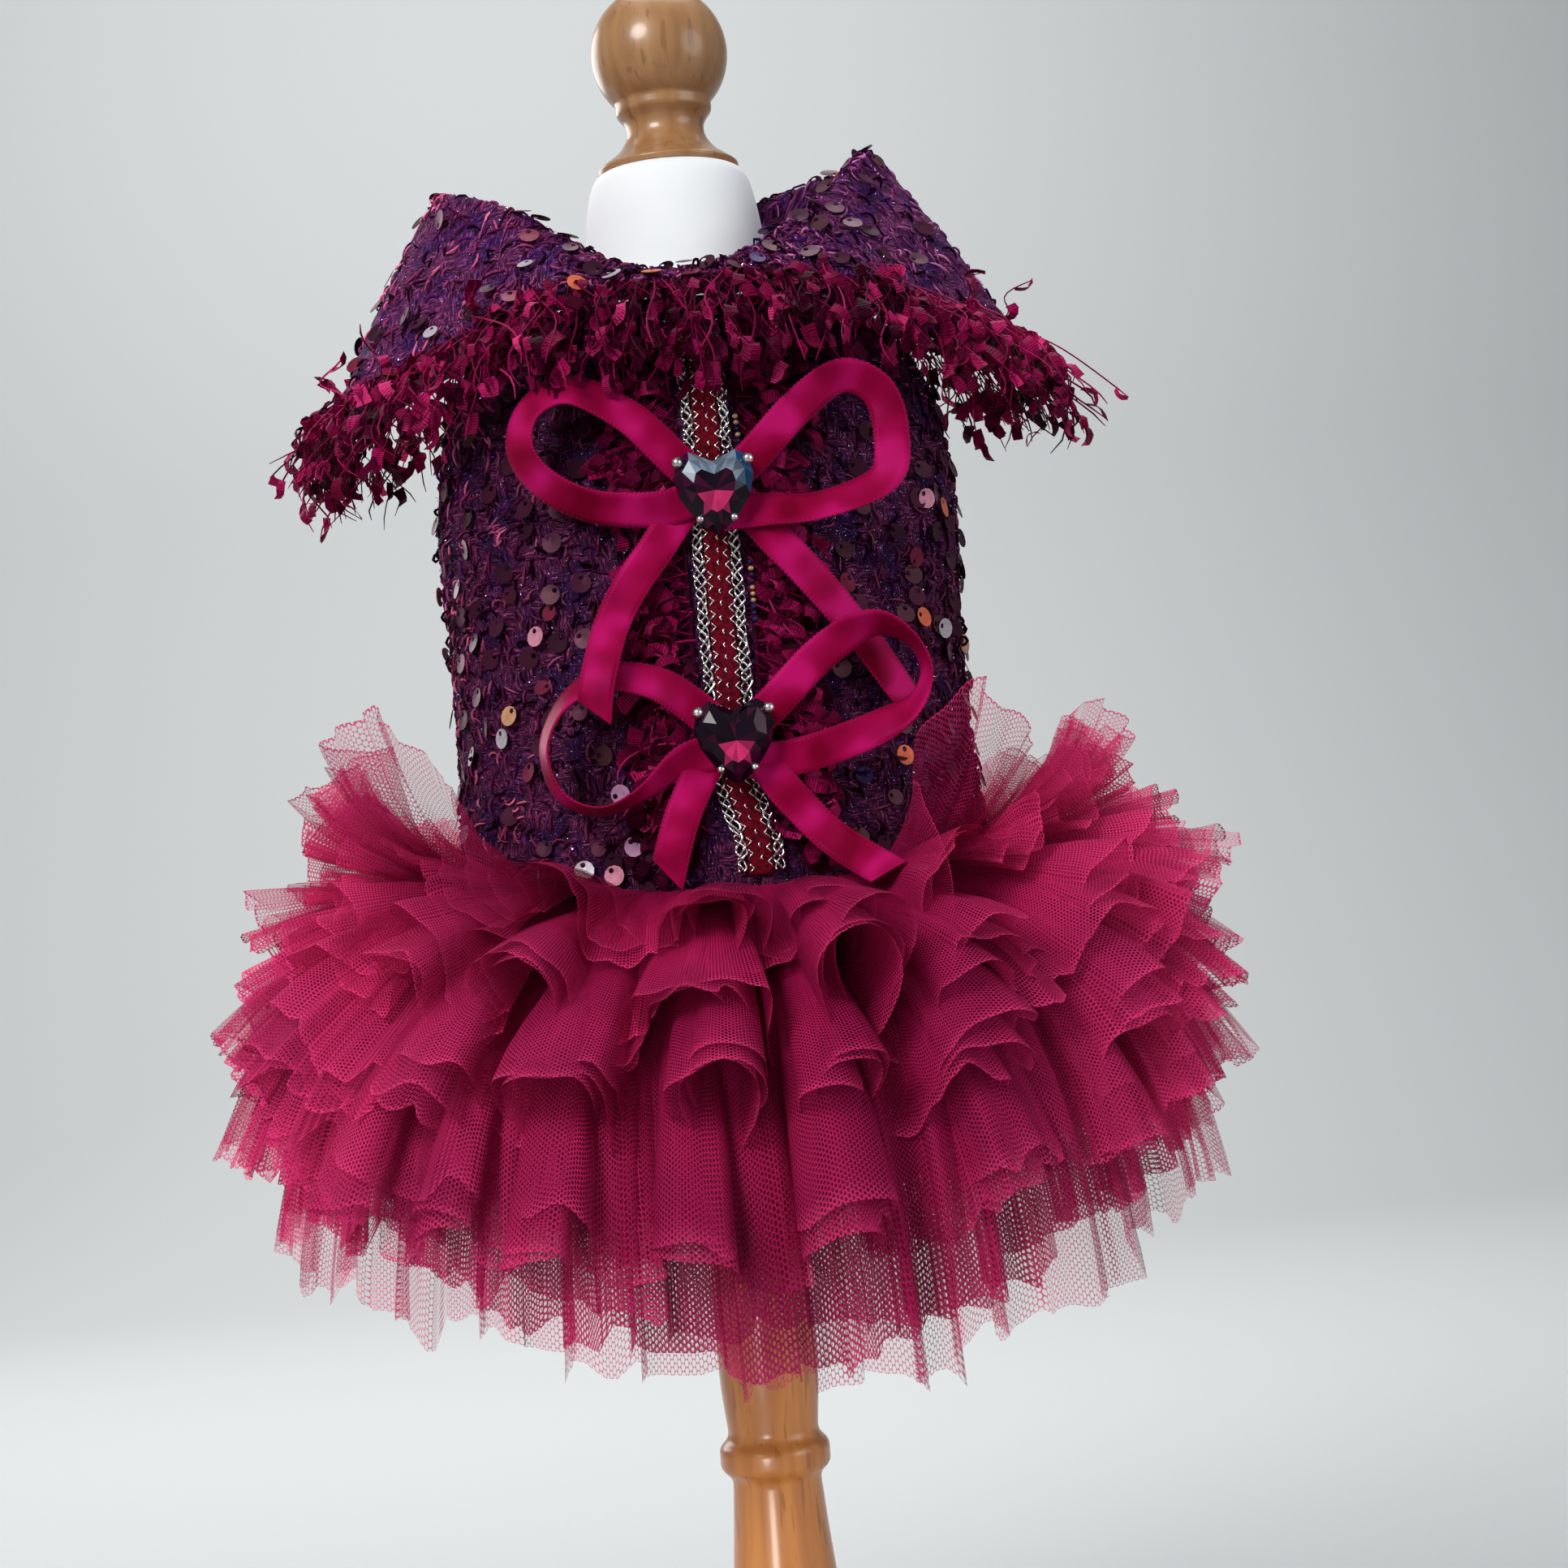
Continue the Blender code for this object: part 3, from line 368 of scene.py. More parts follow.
def tulleMaterial():
    # hexagonal net: three waves at 60 degrees sum to a honeycomb, cut where the sum is low;
    # the dense attribute closes the holes where the net is gathered
    material, shader = newMaterial("raspberryTulle", {"Roughness": 0.75, "Specular IOR Level": 0.08})
    flat = flatPlace(material)
    holes = None
    for angle in (0.0, 60.0, 120.0):
        turn = math.radians(angle)
        wave = tau / tulleLook["netPitch"]
        direction = (math.cos(turn) * wave, math.sin(turn) * wave, 0.0)
        along = addNode(material, "ShaderNodeVectorMath", {0: flat, 1: direction},
                        operation="DOT_PRODUCT").outputs["Value"]
        value = calculate(material, "COSINE", along)
        holes = value if holes is None else calculate(material, "ADD", holes, value)
    dense = addNode(material, "ShaderNodeAttribute", attribute_name="dense").outputs["Fac"]
    cut = calculate(material, "SUBTRACT", holes, dense)
    thread = fromRange(material, cut, -0.5, 0.5, 0.94, tulleLook["veil"])
    alpha = calculate(material, "MULTIPLY", thread, fromRange(material, dense, -0.9, -0.4, 0.85, 1.0))
    wire(material, alpha, shader, "Alpha")
    cloudy = noise(material, objectPlace(material), 22.0, 2.0)
    tint = tintOf(material)
    colour = mixColours(material, fromRange(material, cloudy, 0.35, 0.65, 0.0, 0.42), tint,
                        (0.13, 0.0015, 0.040, 1.0))
    # painted shade: the colour is darker in the holes, for the shaded depth seen through them
    paintedHoleShade = fromRange(material, holes, -0.8, 1.6, 0.0, 0.68)
    wire(material, mixColours(material, paintedHoleShade, colour, (0.05, 0.0006, 0.012, 1.0)), shader, "Base Color")
    return material


# Shape helpers: every shape is worked out as whole arrays

def smoothStep(low, high, value):
    # 0 below low, 1 above high and an S-curve between them
    share = np.clip((value - low) / (high - low), 0.0, 1.0)
    return share * share * (3 - 2 * share)


def curveThrough(values, place):
    # a smooth curve through evenly numbered values, which run along the first axis
    values = np.asarray(values, float)
    place = np.asarray(place, float)
    last = len(values) - 1
    index = np.clip(place.astype(int), 0, last - 1)
    share = (place - index).reshape(place.shape + (1,) * (values.ndim - 1))
    before, here = values[np.maximum(index - 1, 0)], values[index]
    after, beyond = values[index + 1], values[np.minimum(index + 2, last)]
    return 0.5 * (2 * here + (after - before) * share
                  + (2 * before - 5 * here + 4 * after - beyond) * share ** 2
                  + (3 * here - before - 3 * after + beyond) * share ** 3)


def unit(vectors):
    return vectors / np.maximum(np.linalg.norm(vectors, axis=-1, keepdims=True), 1e-12)


def hills(x, y, seed):
    # value noise from -1 to 1: random heights on whole numbers, blended by an S-curve
    table = np.random.default_rng(seed).uniform(-1, 1, (64, 64))
    column, row = np.floor(x).astype(int), np.floor(y).astype(int)
    across, up = x - column, y - row
    across, up = across * across * (3 - 2 * across), up * up * (3 - 2 * up)
    low = table[row % 64, column % 64] * (1 - across) + table[row % 64, (column + 1) % 64] * across
    high = (table[(row + 1) % 64, column % 64] * (1 - across)
            + table[(row + 1) % 64, (column + 1) % 64] * across)
    return low * (1 - up) + high * up


def gridNormals(points):
    # the cross product of the two gradients of a grid
    return unit(np.cross(np.gradient(points, axis=1), np.gradient(points, axis=0)))


def gridFaces(rows, columns, closed=False):
    # quads of a grid, wound so that they face out when rows go up and columns go to the right
    row = np.arange(rows - 1)[:, None]
    column = np.arange(columns if closed else columns - 1)[None, :]
    following = (column + 1) % columns
    corners = [row * columns + column, row * columns + following,
               (row + 1) * columns + following, (row + 1) * columns + column]
    return np.stack(corners, -1).reshape(-1, 4)


def readGrid(grid, row, column):
    # values between a grid's points, blended from the four round each place
    row = np.clip(row, 0, grid.shape[0] - 1.001)
    column = np.clip(column, 0, grid.shape[1] - 1.001)
    low, left = row.astype(int), column.astype(int)
    up, right = (row - low)[..., None], (column - left)[..., None]
    return ((grid[low, left] * (1 - right) + grid[low, left + 1] * right) * (1 - up)
            + (grid[low + 1, left] * (1 - right) + grid[low + 1, left + 1] * right) * up)


def cappedTubes(count, rings, sides):
    # faces of closed grids that follow one another, each with a face at both ends
    start = (np.arange(count) * rings * sides)[:, None]
    ring = np.arange(sides)[None]
    quads = (start[..., None] + gridFaces(rings, sides, closed=True)[None]).reshape(-1, 4)
    return [quads, start + ring[:, ::-1], start + (rings - 1) * sides + ring]


def ringQuads(count, first, second):
    # quads between two rings of points that start at the numbers given
    column = np.arange(count)
    after = (column + 1) % count
    return np.stack([first + column, first + after, second + after, second + column], -1)


def roundAxis(turn, wide, deep, height):
    # points on ellipses round the axis; the turn starts at the front
    return np.stack(np.broadcast_arrays(wide * np.sin(turn), -deep * np.cos(turn), height), -1)


def lathe(profile, columns):
    # a profile of (reach, height) from the foot up, turned round the axis, with one point at each pole
    rings = profile[1:-1]
    turn = tau * np.arange(columns) / columns
    points = roundAxis(turn, rings[:, :1], rings[:, :1], rings[:, 1:]).reshape(-1, 3)
    foot, top = len(points), len(points) + 1
    points = np.concatenate([points, [[0, 0, profile[0, 1]], [0, 0, profile[-1, 1]]]])
    column = np.arange(columns)
    following = (column + 1) % columns
    last = (len(rings) - 1) * columns
    lower = np.stack([following, column, np.full(columns, foot)], -1)
    upper = np.stack([last + column, last + following, np.full(columns, top)], -1)
    return points, [gridFaces(len(rings), columns, closed=True), lower, upper]


def newPiece(name, points, faceGroups, material, nodes=(), flat=None, tint=None, dense=None,
             smooth=True):
    # a mesh piece in the frame; it rides on the body and stands for the CAD nodes named
    mesh = bpy.data.meshes.new(name)
    faces = [face for group in faceGroups for face in np.asarray(group).tolist()]
    mesh.from_pydata(np.asarray(points).reshape(-1, 3).tolist(), [], faces)
    mesh.polygons.foreach_set("use_smooth", np.full(len(faces), smooth))
    loops = np.zeros(len(mesh.loops), np.int32)
    mesh.loops.foreach_get("vertex_index", loops)
    if flat is not None:
        layer = mesh.uv_layers.new(name="cloth")
        layer.data.foreach_set("uv", np.asarray(flat, np.float32).reshape(-1, 2)[loops].ravel())
    if tint is not None:
        layer = mesh.color_attributes.new("tint", "FLOAT_COLOR", "POINT")
        colours = np.ones((len(mesh.vertices), 4), np.float32)
        colours[:, :3] = np.asarray(tint).reshape(-1, 3)
        layer.data.foreach_set("color", colours.ravel())
    if dense is not None:
        layer = mesh.attributes.new("dense", "FLOAT", "POINT")
        layer.data.foreach_set("value", np.asarray(dense, np.float32).ravel())
    mesh.materials.append(material)
    mesh.update()
    piece = bpy.data.objects.new(name, mesh)
    bpy.context.scene.collection.objects.link(piece)
    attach(piece, "root")
    if nodes:
        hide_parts(*nodes)
    return piece


def thinShell(outer, inner, step):
    # a closed cloth: a fine outer grid, an inner grid of every step-th point, and a rim of longer
    # faces that joins each stretch of the fine edge to one coarse edge
    rows, columns = outer.shape[:2]
    coarse = inner[::step, ::step]
    lowRows, lowColumns = coarse.shape[:2]
    start = rows * columns
    fine = np.arange(rows * columns).reshape(rows, columns)
    wide = start + np.arange(lowRows * lowColumns).reshape(lowRows, lowColumns)
    points = np.concatenate([outer.reshape(-1, 3), coarse.reshape(-1, 3)])
    rim = []
    for fineEdge, wideEdge in ((fine[0], wide[0]), (fine[:, -1], wide[:, -1]),
                               (fine[-1, ::-1], wide[-1, ::-1]), (fine[::-1, 0], wide[::-1, 0])):
        for index in range(len(wideEdge) - 1):
            stretch = fineEdge[index * step:(index + 1) * step + 1]
            rim.append([*stretch[::-1].tolist(), int(wideEdge[index]), int(wideEdge[index + 1])])
    faces = [gridFaces(rows, columns), start + gridFaces(lowRows, lowColumns)[:, ::-1]]
    return points, faces, rim


def tubeSet(paths, radii, reference, sides):
    # many tubes at once: rings square to each path, closed at both ends
    count, steps = paths.shape[:2]
    heading = unit(np.gradient(paths, axis=1))
    across = unit(np.cross(heading, reference))
    beside = np.cross(across, heading)
    angle = tau * np.arange(sides) / sides
    ring = (across[:, :, None] * np.cos(angle)[None, None, :, None]
            + beside[:, :, None] * np.sin(angle)[None, None, :, None])
    points = paths[:, :, None] + ring * radii[:, :, None, None]
    return points.reshape(-1, 3), cappedTubes(count, steps, sides)


def scatter(points, faceGroups, origins, axes, scales):
    # copies of one small shape: each point goes along three axes from its own origin
    count, size = len(origins), len(points)
    placed = origins[:, None] + np.einsum("pk,nkd->npd", points, axes * scales[:, None, None])
    start = (np.arange(count) * size)[:, None, None]
    faces = [(start + group[None]).reshape(-1, group.shape[1]) for group in faceGroups]
    return placed.reshape(-1, 3), faces


def joinShapes(shapes):
    # several (points, faceGroups, tints) as one
    points, faces, tints, start = [], [], [], 0
    for somePoints, groups, someTints in shapes:
        points.append(somePoints)
        tints.append(np.broadcast_to(someTints, somePoints.shape))
        faces += [np.asarray(group) + start for group in groups]
        start += len(somePoints)
    return np.concatenate(points), faces, np.concatenate(tints)


# The body that everything is sewn round: height, half width and half depth of the cloth's inner face

bodySections = np.array([
    (302, 74.0, 54.0), (330, 74.5, 54.8), (360, 73.0, 54.0), (395, 72.5, 53.2), (424, 74.2, 54.0),
    (432, 74.2, 54.0), (445, 73.2, 53.4), (458, 70.5, 51.8), (466, 67.2, 49.8), (475, 61.5, 46.8),
    (484, 54.0, 43.5), (493, 46.5, 40.2)])


def evenSections(column):
    # the table read each millimetre and averaged over seven
    heights = np.arange(299.0, 497.0)
    values = np.interp(heights, bodySections[:, 0], bodySections[:, column])
    return np.convolve(values, np.ones(7) / 7, mode="valid")


evenHeights = np.arange(302.0, 494.0)
evenWidths, evenDepths = evenSections(1), evenSections(2)


def bodyRadii(height):
    return (np.interp(height / mm, evenHeights, evenWidths) * mm,
            np.interp(height / mm, evenHeights, evenDepths) * mm)


def bodyPoint(turn, height, lift):
    # the lift is out of the cloth's inner face
    halfWidth, halfDepth = bodyRadii(height)
    return roundAxis(turn, halfWidth + lift, halfDepth + lift, height)


def bodyAcross(across, height, lift):
    # the same for a point on the front, given by its distance across
    halfWidth, _ = bodyRadii(height)
    return bodyPoint(np.arcsin(across / (halfWidth + lift)), height, lift)


def bodyReach(angle, height, lift):
    halfWidth, halfDepth = bodyRadii(height)
    wide, deep = halfWidth + lift, halfDepth + lift
    return wide * deep / np.hypot(deep * np.sin(angle), wide * np.cos(angle))


# Stand, finial and form

standLook = {
    "steps": 64,
    # painted light on the post, which stands in the shade of the skirt
    "postPaintedLight": (1.45, 1.08, 0.68),
    # (radius, height, rounding) in mm, from the top of the axis down the outer side to its foot
    "post": [(0, 289.7, 0), (14, 289.7, 0.8), (14, 240, 25), (14.8, 178, 20), (13, 159.5, 2.5),
             (16.1, 156.5, 1.6), (16.1, 150.5, 1.6), (12.8, 147.5, 2.0), (14, 130, 12), (17, 100, 20),
             (12, 50, 20), (20, 28, 6), (20, 18.3, 0.8), (0, 18.3, 0)],
    "base": [(0, 18, 0), (85, 18, 5), (93, 15.5, 4), (95, 10, 4), (95, 2, 1.5), (93, 0, 1), (0, 0, 0)],
    "finialFoot": [(14.2, 552.5, 0.8), (14.2, 549.5, 0.8), (11.5, 546, 3), (11.5, 542, 3), (14.5, 537.5, 4),
                   (19.5, 534, 3), (21, 532.8, 0.6), (20.4, 531.3, 0.3), (0, 531.3, 0)],
    "ballRadius": 20.3,
    "ballHeight": 567.0,
    "ballEnd": 130.0,
}


def roundProfile(profile):
    # each corner becomes a short curve that starts and ends at its rounding from the corner
    profile = np.asarray(profile, float)
    points = [profile[0, :2]]
    for before, here, after in zip(profile, profile[1:], profile[2:]):
        back, ahead = before[:2] - here[:2], after[:2] - here[:2]
        cutBack = min(here[2], 0.45 * np.linalg.norm(back))
        cutAhead = min(here[2], 0.45 * np.linalg.norm(ahead))
        if cutBack <= 0:
            points.append(here[:2])
            continue
        first = here[:2] + back / np.linalg.norm(back) * cutBack
        last = here[:2] + ahead / np.linalg.norm(ahead) * cutAhead
        for share in np.linspace(0, 1, 6):
            points.append(first * (1 - share) ** 2 + here[:2] * 2 * share * (1 - share) + last * share ** 2)
    points.append(profile[-1, :2])
    return np.array(points)


def turned(name, node, profile, material):
    # the profile starts at the top
    points, faces = lathe(profile[::-1] * mm, standLook["steps"])
    piece = newPiece(name, points, faces, material, [node])
    piece.data.set_sharp_from_angle(angle=math.radians(50))


def makeStand(look):
    turned("standBase", "stand_base", roundProfile(look["base"]), beechMaterial("beechBoard", False))
    turned("standPost", "stand_post", roundProfile(look["post"]),
           beechMaterial("beechPost", True, look["postPaintedLight"]))
    angle = np.radians(np.linspace(0, look["ballEnd"], 40))
    ball = np.stack([look["ballRadius"] * np.sin(angle),
                     look["ballHeight"] + look["ballRadius"] * np.cos(angle)], -1)
    ball[0, 0] = 0
    foot = roundProfile([(*ball[-1], 0), *look["finialFoot"]])
    turned("turnedFinial", "finial", np.concatenate([ball, foot[1:]]), beechMaterial("varnishedBeech", True))


formLook = {
    "foot": [(290, 58, 42), (291, 63, 45.5), (294, 68, 49.5)],
    "neck": [(484, 50, 40), (490, 37.5, 34), (498, 29.5, 29), (508, 27, 27), (520, 25.2, 25.2),
             (527, 23.6, 23.6), (530, 22, 22), (531, 20.6, 20.6)],
    "gap": 0.8,
    "legHoleEase": 1.2,
    "legHole": (424, 466),
    "columns": 64,
}


def makeForm(look):
    # ellipses up the axis, smooth between the sections
    body = []
    for height, halfWidth, halfDepth in bodySections[:-2]:
        ease = look["gap"] + (look["legHoleEase"] if look["legHole"][0] < height < look["legHole"][1] else 0)
        body.append((height, halfWidth - ease, halfDepth - ease))
    table = np.array(look["foot"] + body + look["neck"]) * mm
    rows = curveThrough(table, np.linspace(0, len(table) - 1, 5 * (len(table) - 1) + 1))
    turn = tau * np.arange(look["columns"]) / look["columns"]
    points = roundAxis(turn, rows[:, 1:2], rows[:, 2:3], rows[:, :1])
    piece = newPiece("formTorso", points, cappedTubes(1, len(rows), look["columns"]), coverMaterial(),
                     ["form_torso"])
    piece.data.set_sharp_from_angle(angle=math.radians(60))


makeStand(standLook)
makeForm(formLook)
print("stand and form made")


# Bodice

tweed = tweedMaterial("plumTweed", (1.0, 1.0, 1.0))
# a paler copy of the same tweed: painted light on the collar
collarTweed = tweedMaterial("collarTweed", (1.7, 2.2, 2.0))

clothLook = {
    "thickness": 2.0,
    "backGrid": (241, 169),  # columns and rows
    "sideGrid": (97, 121),
    "innerStep": 4,
    "widest": (76.0, 56.0),
    "hem": 302.0,
    "neckline": 485.0,
    "sideSeam": 100.0,
    "seamGap": 0.4,
    "seamReach": 54.0,
    "legHole": (445.0, 21.0, 17.0),  # height, half height, half width
    "overlap": 8.0,
    "step": 2.4,
    "stepOut": (150, 166),  # degrees from the front, where the lap rises and where it comes back
    "stepBack": (192, 206),
    "yarnPitch": (2.9, 3.6),
    "relief": 0.42,
    "fineRelief": 0.30,
}


def legHoleTurn(height):
    # half an ellipse cut into each side seam
    centre, halfHeight, halfWidth = clothLook["legHole"]
    offset = np.clip((height / mm - centre) / halfHeight, -1, 1)
    halfWide, halfDeep = bodyRadii(height)
    seam = math.radians(clothLook["sideSeam"])
    speed = np.hypot(halfWide * math.cos(seam), halfDeep * math.sin(seam))
    return halfWidth * mm * np.sqrt(1 - offset * offset) / speed


def closureRise(turn):
    # the step outwards of the half that laps over the other, at the centre of the back
    degrees = np.degrees(turn) % 360
    return (clothLook["step"] * mm * smoothStep(*clothLook["stepOut"], degrees)
            * (1 - smoothStep(*clothLook["stepBack"], degrees)))


def arcLength(turn):
    # millimetres of cloth from the front's centre, on the widest ellipse
    steps = np.linspace(-tau, tau, 1441)
    halfWide, halfDeep = clothLook["widest"]
    speed = np.hypot(halfWide * np.cos(steps), halfDeep * np.sin(steps))
    length = np.concatenate([[0], np.cumsum((speed[1:] + speed[:-1]) / 2 * np.diff(steps))])
    return np.interp(turn, steps, length - np.interp(0, steps, length))


def tweedRelief(across, up, seed):
    # plied yarns over and under each other, drifting, with nubs of bouclé
    drift = 1.6 * hills(across / 11, up / 11, seed)
    first = np.sin(math.pi * (across + drift) / clothLook["yarnPitch"][0])
    second = np.sin(math.pi * (up + drift) / clothLook["yarnPitch"][1])
    weave = np.maximum(np.abs(first) * (first * second > 0), np.abs(second) * (first * second <= 0))
    nubs = hills(across / 1.3, up / 1.7, seed + 1) + 0.7 * hills(across / 3.1, up / 2.6, seed + 2)
    return (clothLook["relief"] * (weave - 0.5) + clothLook["fineRelief"] * nubs) * mm


def makePanel(name, node, firstTurn, lastTurn, grid, seed, lapped=False):
    # cloth between two seams: each row runs from one seam's turn to the other's at that height
    (columns, rows), step = grid, clothLook["innerStep"]
    height = np.linspace(clothLook["hem"], clothLook["neckline"], rows)[:, None] * mm
    share = np.linspace(0, 1, columns)[None]
    first, last = firstTurn(height), lastTurn(height)
    turn = first + (last - first) * share
    height = np.broadcast_to(height, turn.shape)
    rise = closureRise(turn) if lapped else 0.0
    across, up = arcLength(turn), height / mm
    edge = np.minimum.reduce([share * columns, (1 - share) * columns]) * np.ones_like(turn)
    calm = np.clip(edge / 4, 0, 1)
    inner = bodyPoint(turn, height, rise)
    outer = bodyPoint(turn, height, rise + clothLook["thickness"] * mm + tweedRelief(across, up, seed) * calm)
    points, faces, rim = thinShell(outer, inner, step)
    flat = np.stack([across, up], -1)
    flat = np.concatenate([flat.reshape(-1, 2), flat[::step, ::step].reshape(-1, 2)])
    piece = newPiece(name, points, faces + [rim], tweed, [node], flat=flat)
    fine = bodyPoint(turn, height, rise + clothLook["thickness"] * mm)
    return piece, {"points": fine, "normals": gridNormals(fine)}


def makeBodice():
    seam = math.radians(clothLook["sideSeam"])
    gap = clothLook["seamGap"] / 2 / clothLook["seamReach"]
    overlap = math.pi + math.radians(clothLook["overlap"])
    back = makePanel("backCloth", "back_panel", lambda z: -(seam - gap - legHoleTurn(z)),
                     lambda z: seam - gap - legHoleTurn(z), clothLook["backGrid"], 11)
    right = makePanel("bellyClothRight", "belly_panel_right", lambda z: seam + gap + legHoleTurn(z),
                      lambda z: overlap + 0 * z, clothLook["sideGrid"], 21, lapped=True)
    left = makePanel("bellyClothLeft", "belly_panel_left", lambda z: tau - overlap + 0 * z,
                     lambda z: tau - seam - gap - legHoleTurn(z), clothLook["sideGrid"], 31)
    return back, right, left


(backCloth, backFace), (bellyRight, rightFace), (bellyLeft, leftFace) = makeBodice()
print("bodice made")


# Collar: angle round the neck, fold reach and height, cape edge reach and height, all in mm

collarStations = np.array([
    (-145, 44, 514, 47, 509), (-125, 53, 519, 80, 486), (-105, 65, 524, 98, 471), (-88, 68, 526, 99, 470),
    (-65, 58, 518, 78, 477), (-45, 49, 505, 65, 485), (-22, 46.5, 494, 54, 488), (0, 46, 492, 51, 488),
    (22, 46.5, 497, 54, 490), (45, 48, 508, 65, 487), (65, 53, 520, 77, 482), (88, 59, 533, 98, 477),
    (105, 58, 532, 95, 480), (125, 49, 530, 70, 500), (145, 44, 528, 47, 523)], float)

collarLook = {
    "end": 145.0,
    "columns": 361,
    "rows": 73,
    "cloth": 1.8,
    "foldRadius": 2.0,
    "freeStart": 112.0,
    "freeShare": 0.82,
    "footHeight": 486.0,
}


def collarSection(angle):
    # seven points (reach, height) in metres at each angle: edge, middle, outer, fold, inner, stand, foot
    place = np.interp(angle, collarStations[:, 0], np.arange(len(collarStations)))
    values = curveThrough(collarStations[:, 1:], place) * mm
    fold, edge = values[:, :2], values[:, 2:]
    radius = collarLook["foldRadius"] * mm
    reach = bodyReach(np.radians(angle), 484 * mm, 1.0 * mm)
    seam = np.stack([reach, np.full_like(reach, collarLook["footHeight"] * mm)], -1)
    freed = smoothStep(collarLook["freeStart"], collarLook["end"], np.abs(angle)) * collarLook["freeShare"]
    inner = fold + np.array([-radius, -radius])
    foot = seam * (1 - freed[:, None]) + inner * freed[:, None]
    outer = fold + np.array([radius, -radius * 0.9])
    bulge = np.linalg.norm(edge - outer, axis=1, keepdims=True) * 0.02
    middle = (outer + edge) / 2 + bulge * np.array([1.0, 0.5])
    return np.stack([edge, middle, outer, fold, inner, (foot + inner) / 2, foot], 0)


def turnRound(angle, reach, height):
    return roundAxis(np.radians(angle), reach, reach, height)


def makeCollar(look):
    # the section's curve carried round the neck, from the cape's edge over the fold to the foot
    angle = np.linspace(-look["end"], look["end"], look["columns"])
    section = collarSection(angle)
    # more rows on the long fall than on the tight fold
    place = np.interp(np.linspace(0, 1, look["rows"]), [0, 0.52, 0.62, 0.72, 1], [0, 2, 3, 4, 6])
    line = curveThrough(section, place)
    middle = turnRound(angle[None], line[..., 0], line[..., 1])
    normals = gridNormals(middle)
    across = np.cumsum(np.linalg.norm(np.diff(middle, axis=1, prepend=middle[:, :1]), axis=2), 1) / mm
    up = np.cumsum(np.linalg.norm(np.diff(middle, axis=0, prepend=middle[:1]), axis=2), 0) / mm
    across = across - across[:, look["columns"] // 2][:, None]
    flat = np.stack([across + 400, up], -1)
    half = look["cloth"] * mm / 2
    relief = tweedRelief(flat[..., 0], up, 41)
    outer = middle + normals * (half + relief[..., None] * 0.8)
    inner = middle - normals * half
    step = clothLook["innerStep"]
    points, faces, rim = thinShell(outer, inner, step)
    flats = np.concatenate([flat.reshape(-1, 2), flat[::step, ::step].reshape(-1, 2)])
    piece = newPiece("collarCloth", points, faces + [rim], collarTweed, ["collar"],
                     flat=flats)
    return piece, {"points": middle + normals * half, "normals": normals}


collarCloth, collarFace = makeCollar(collarLook)
print("collar made")


# Loose bouclé, glints and sequins on the tweed

threadColours = np.array([(0.040, 0.004, 0.028), (0.105, 0.012, 0.062), (0.210, 0.036, 0.115),
                          (0.380, 0.085, 0.200), (0.030, 0.004, 0.060), (0.004, 0.0006, 0.005)])
threadShares = [0.24, 0.26, 0.20, 0.12, 0.08, 0.10]
tuftShares = [0.15, 0.05, 0.0, 0.0, 0.10, 0.70]
glintColours = np.array([(0.40, 0.16, 0.95), (0.90, 0.82, 1.00), (0.14, 0.16, 0.60), (0.90, 0.60, 0.70)])
sequinColours = np.array([(0.055, 0.010, 0.026), (0.034, 0.007, 0.020), (0.085, 0.032, 0.044),
                          (0.50, 0.27, 0.46), (0.64, 0.26, 0.36), (0.50, 0.46, 0.52), (0.75, 0.17, 0.08),
                          (0.62, 0.33, 0.18), (0.040, 0.025, 0.11), (0.17, 0.018, 0.045)])
sequinShares = [0.36, 0.28, 0.14, 0.03, 0.02, 0.02, 0.02, 0.02, 0.03, 0.08]
panelShares = [0.40, 0.30, 0.13, 0.015, 0.015, 0.01, 0.01, 0.01, 0.03, 0.08]
brightSequins = [(-51, 393, 4), (-43, 327, 5), (-35, 325, 4), (-29, 332.5, 3), (-31.5, 347, 3), (49, 352, 6),
                 (63, 425, 4), (69, 423, 6), (66, 388, 5), (59, 391, 6), (58, 408, 9), (-60, 372, 7),
                 (-36, 384, 5), (-46, 404, 2)]
sequinLook = {"radius": 2.9, "hole": 0.26, "holeAt": 0.58, "segments": 12, "dish": 0.05, "thickness": 0.06}
# painted light on the loose threads: how much paler they are on the left, high up, and with a painted violet
# sheen high up on the right
paintedThreadLight = {"least": 0.75, "left": (1.2, 1.15, 0.75), "high": 0.75, "highRight": (0.4, 1.3, 1.3)}


def faceSpacing(face):
    # metres between neighbours along rows and columns
    points = face["points"]
    down = np.linalg.norm(np.gradient(points, axis=0), axis=2, keepdims=True)
    along = np.linalg.norm(np.gradient(points, axis=1), axis=2, keepdims=True)
    return np.concatenate([down, along], 2)


def onFace(face, row, column, lift):
    return readGrid(face["points"], row, column) + readGrid(face["normals"], row, column) * lift[..., None]


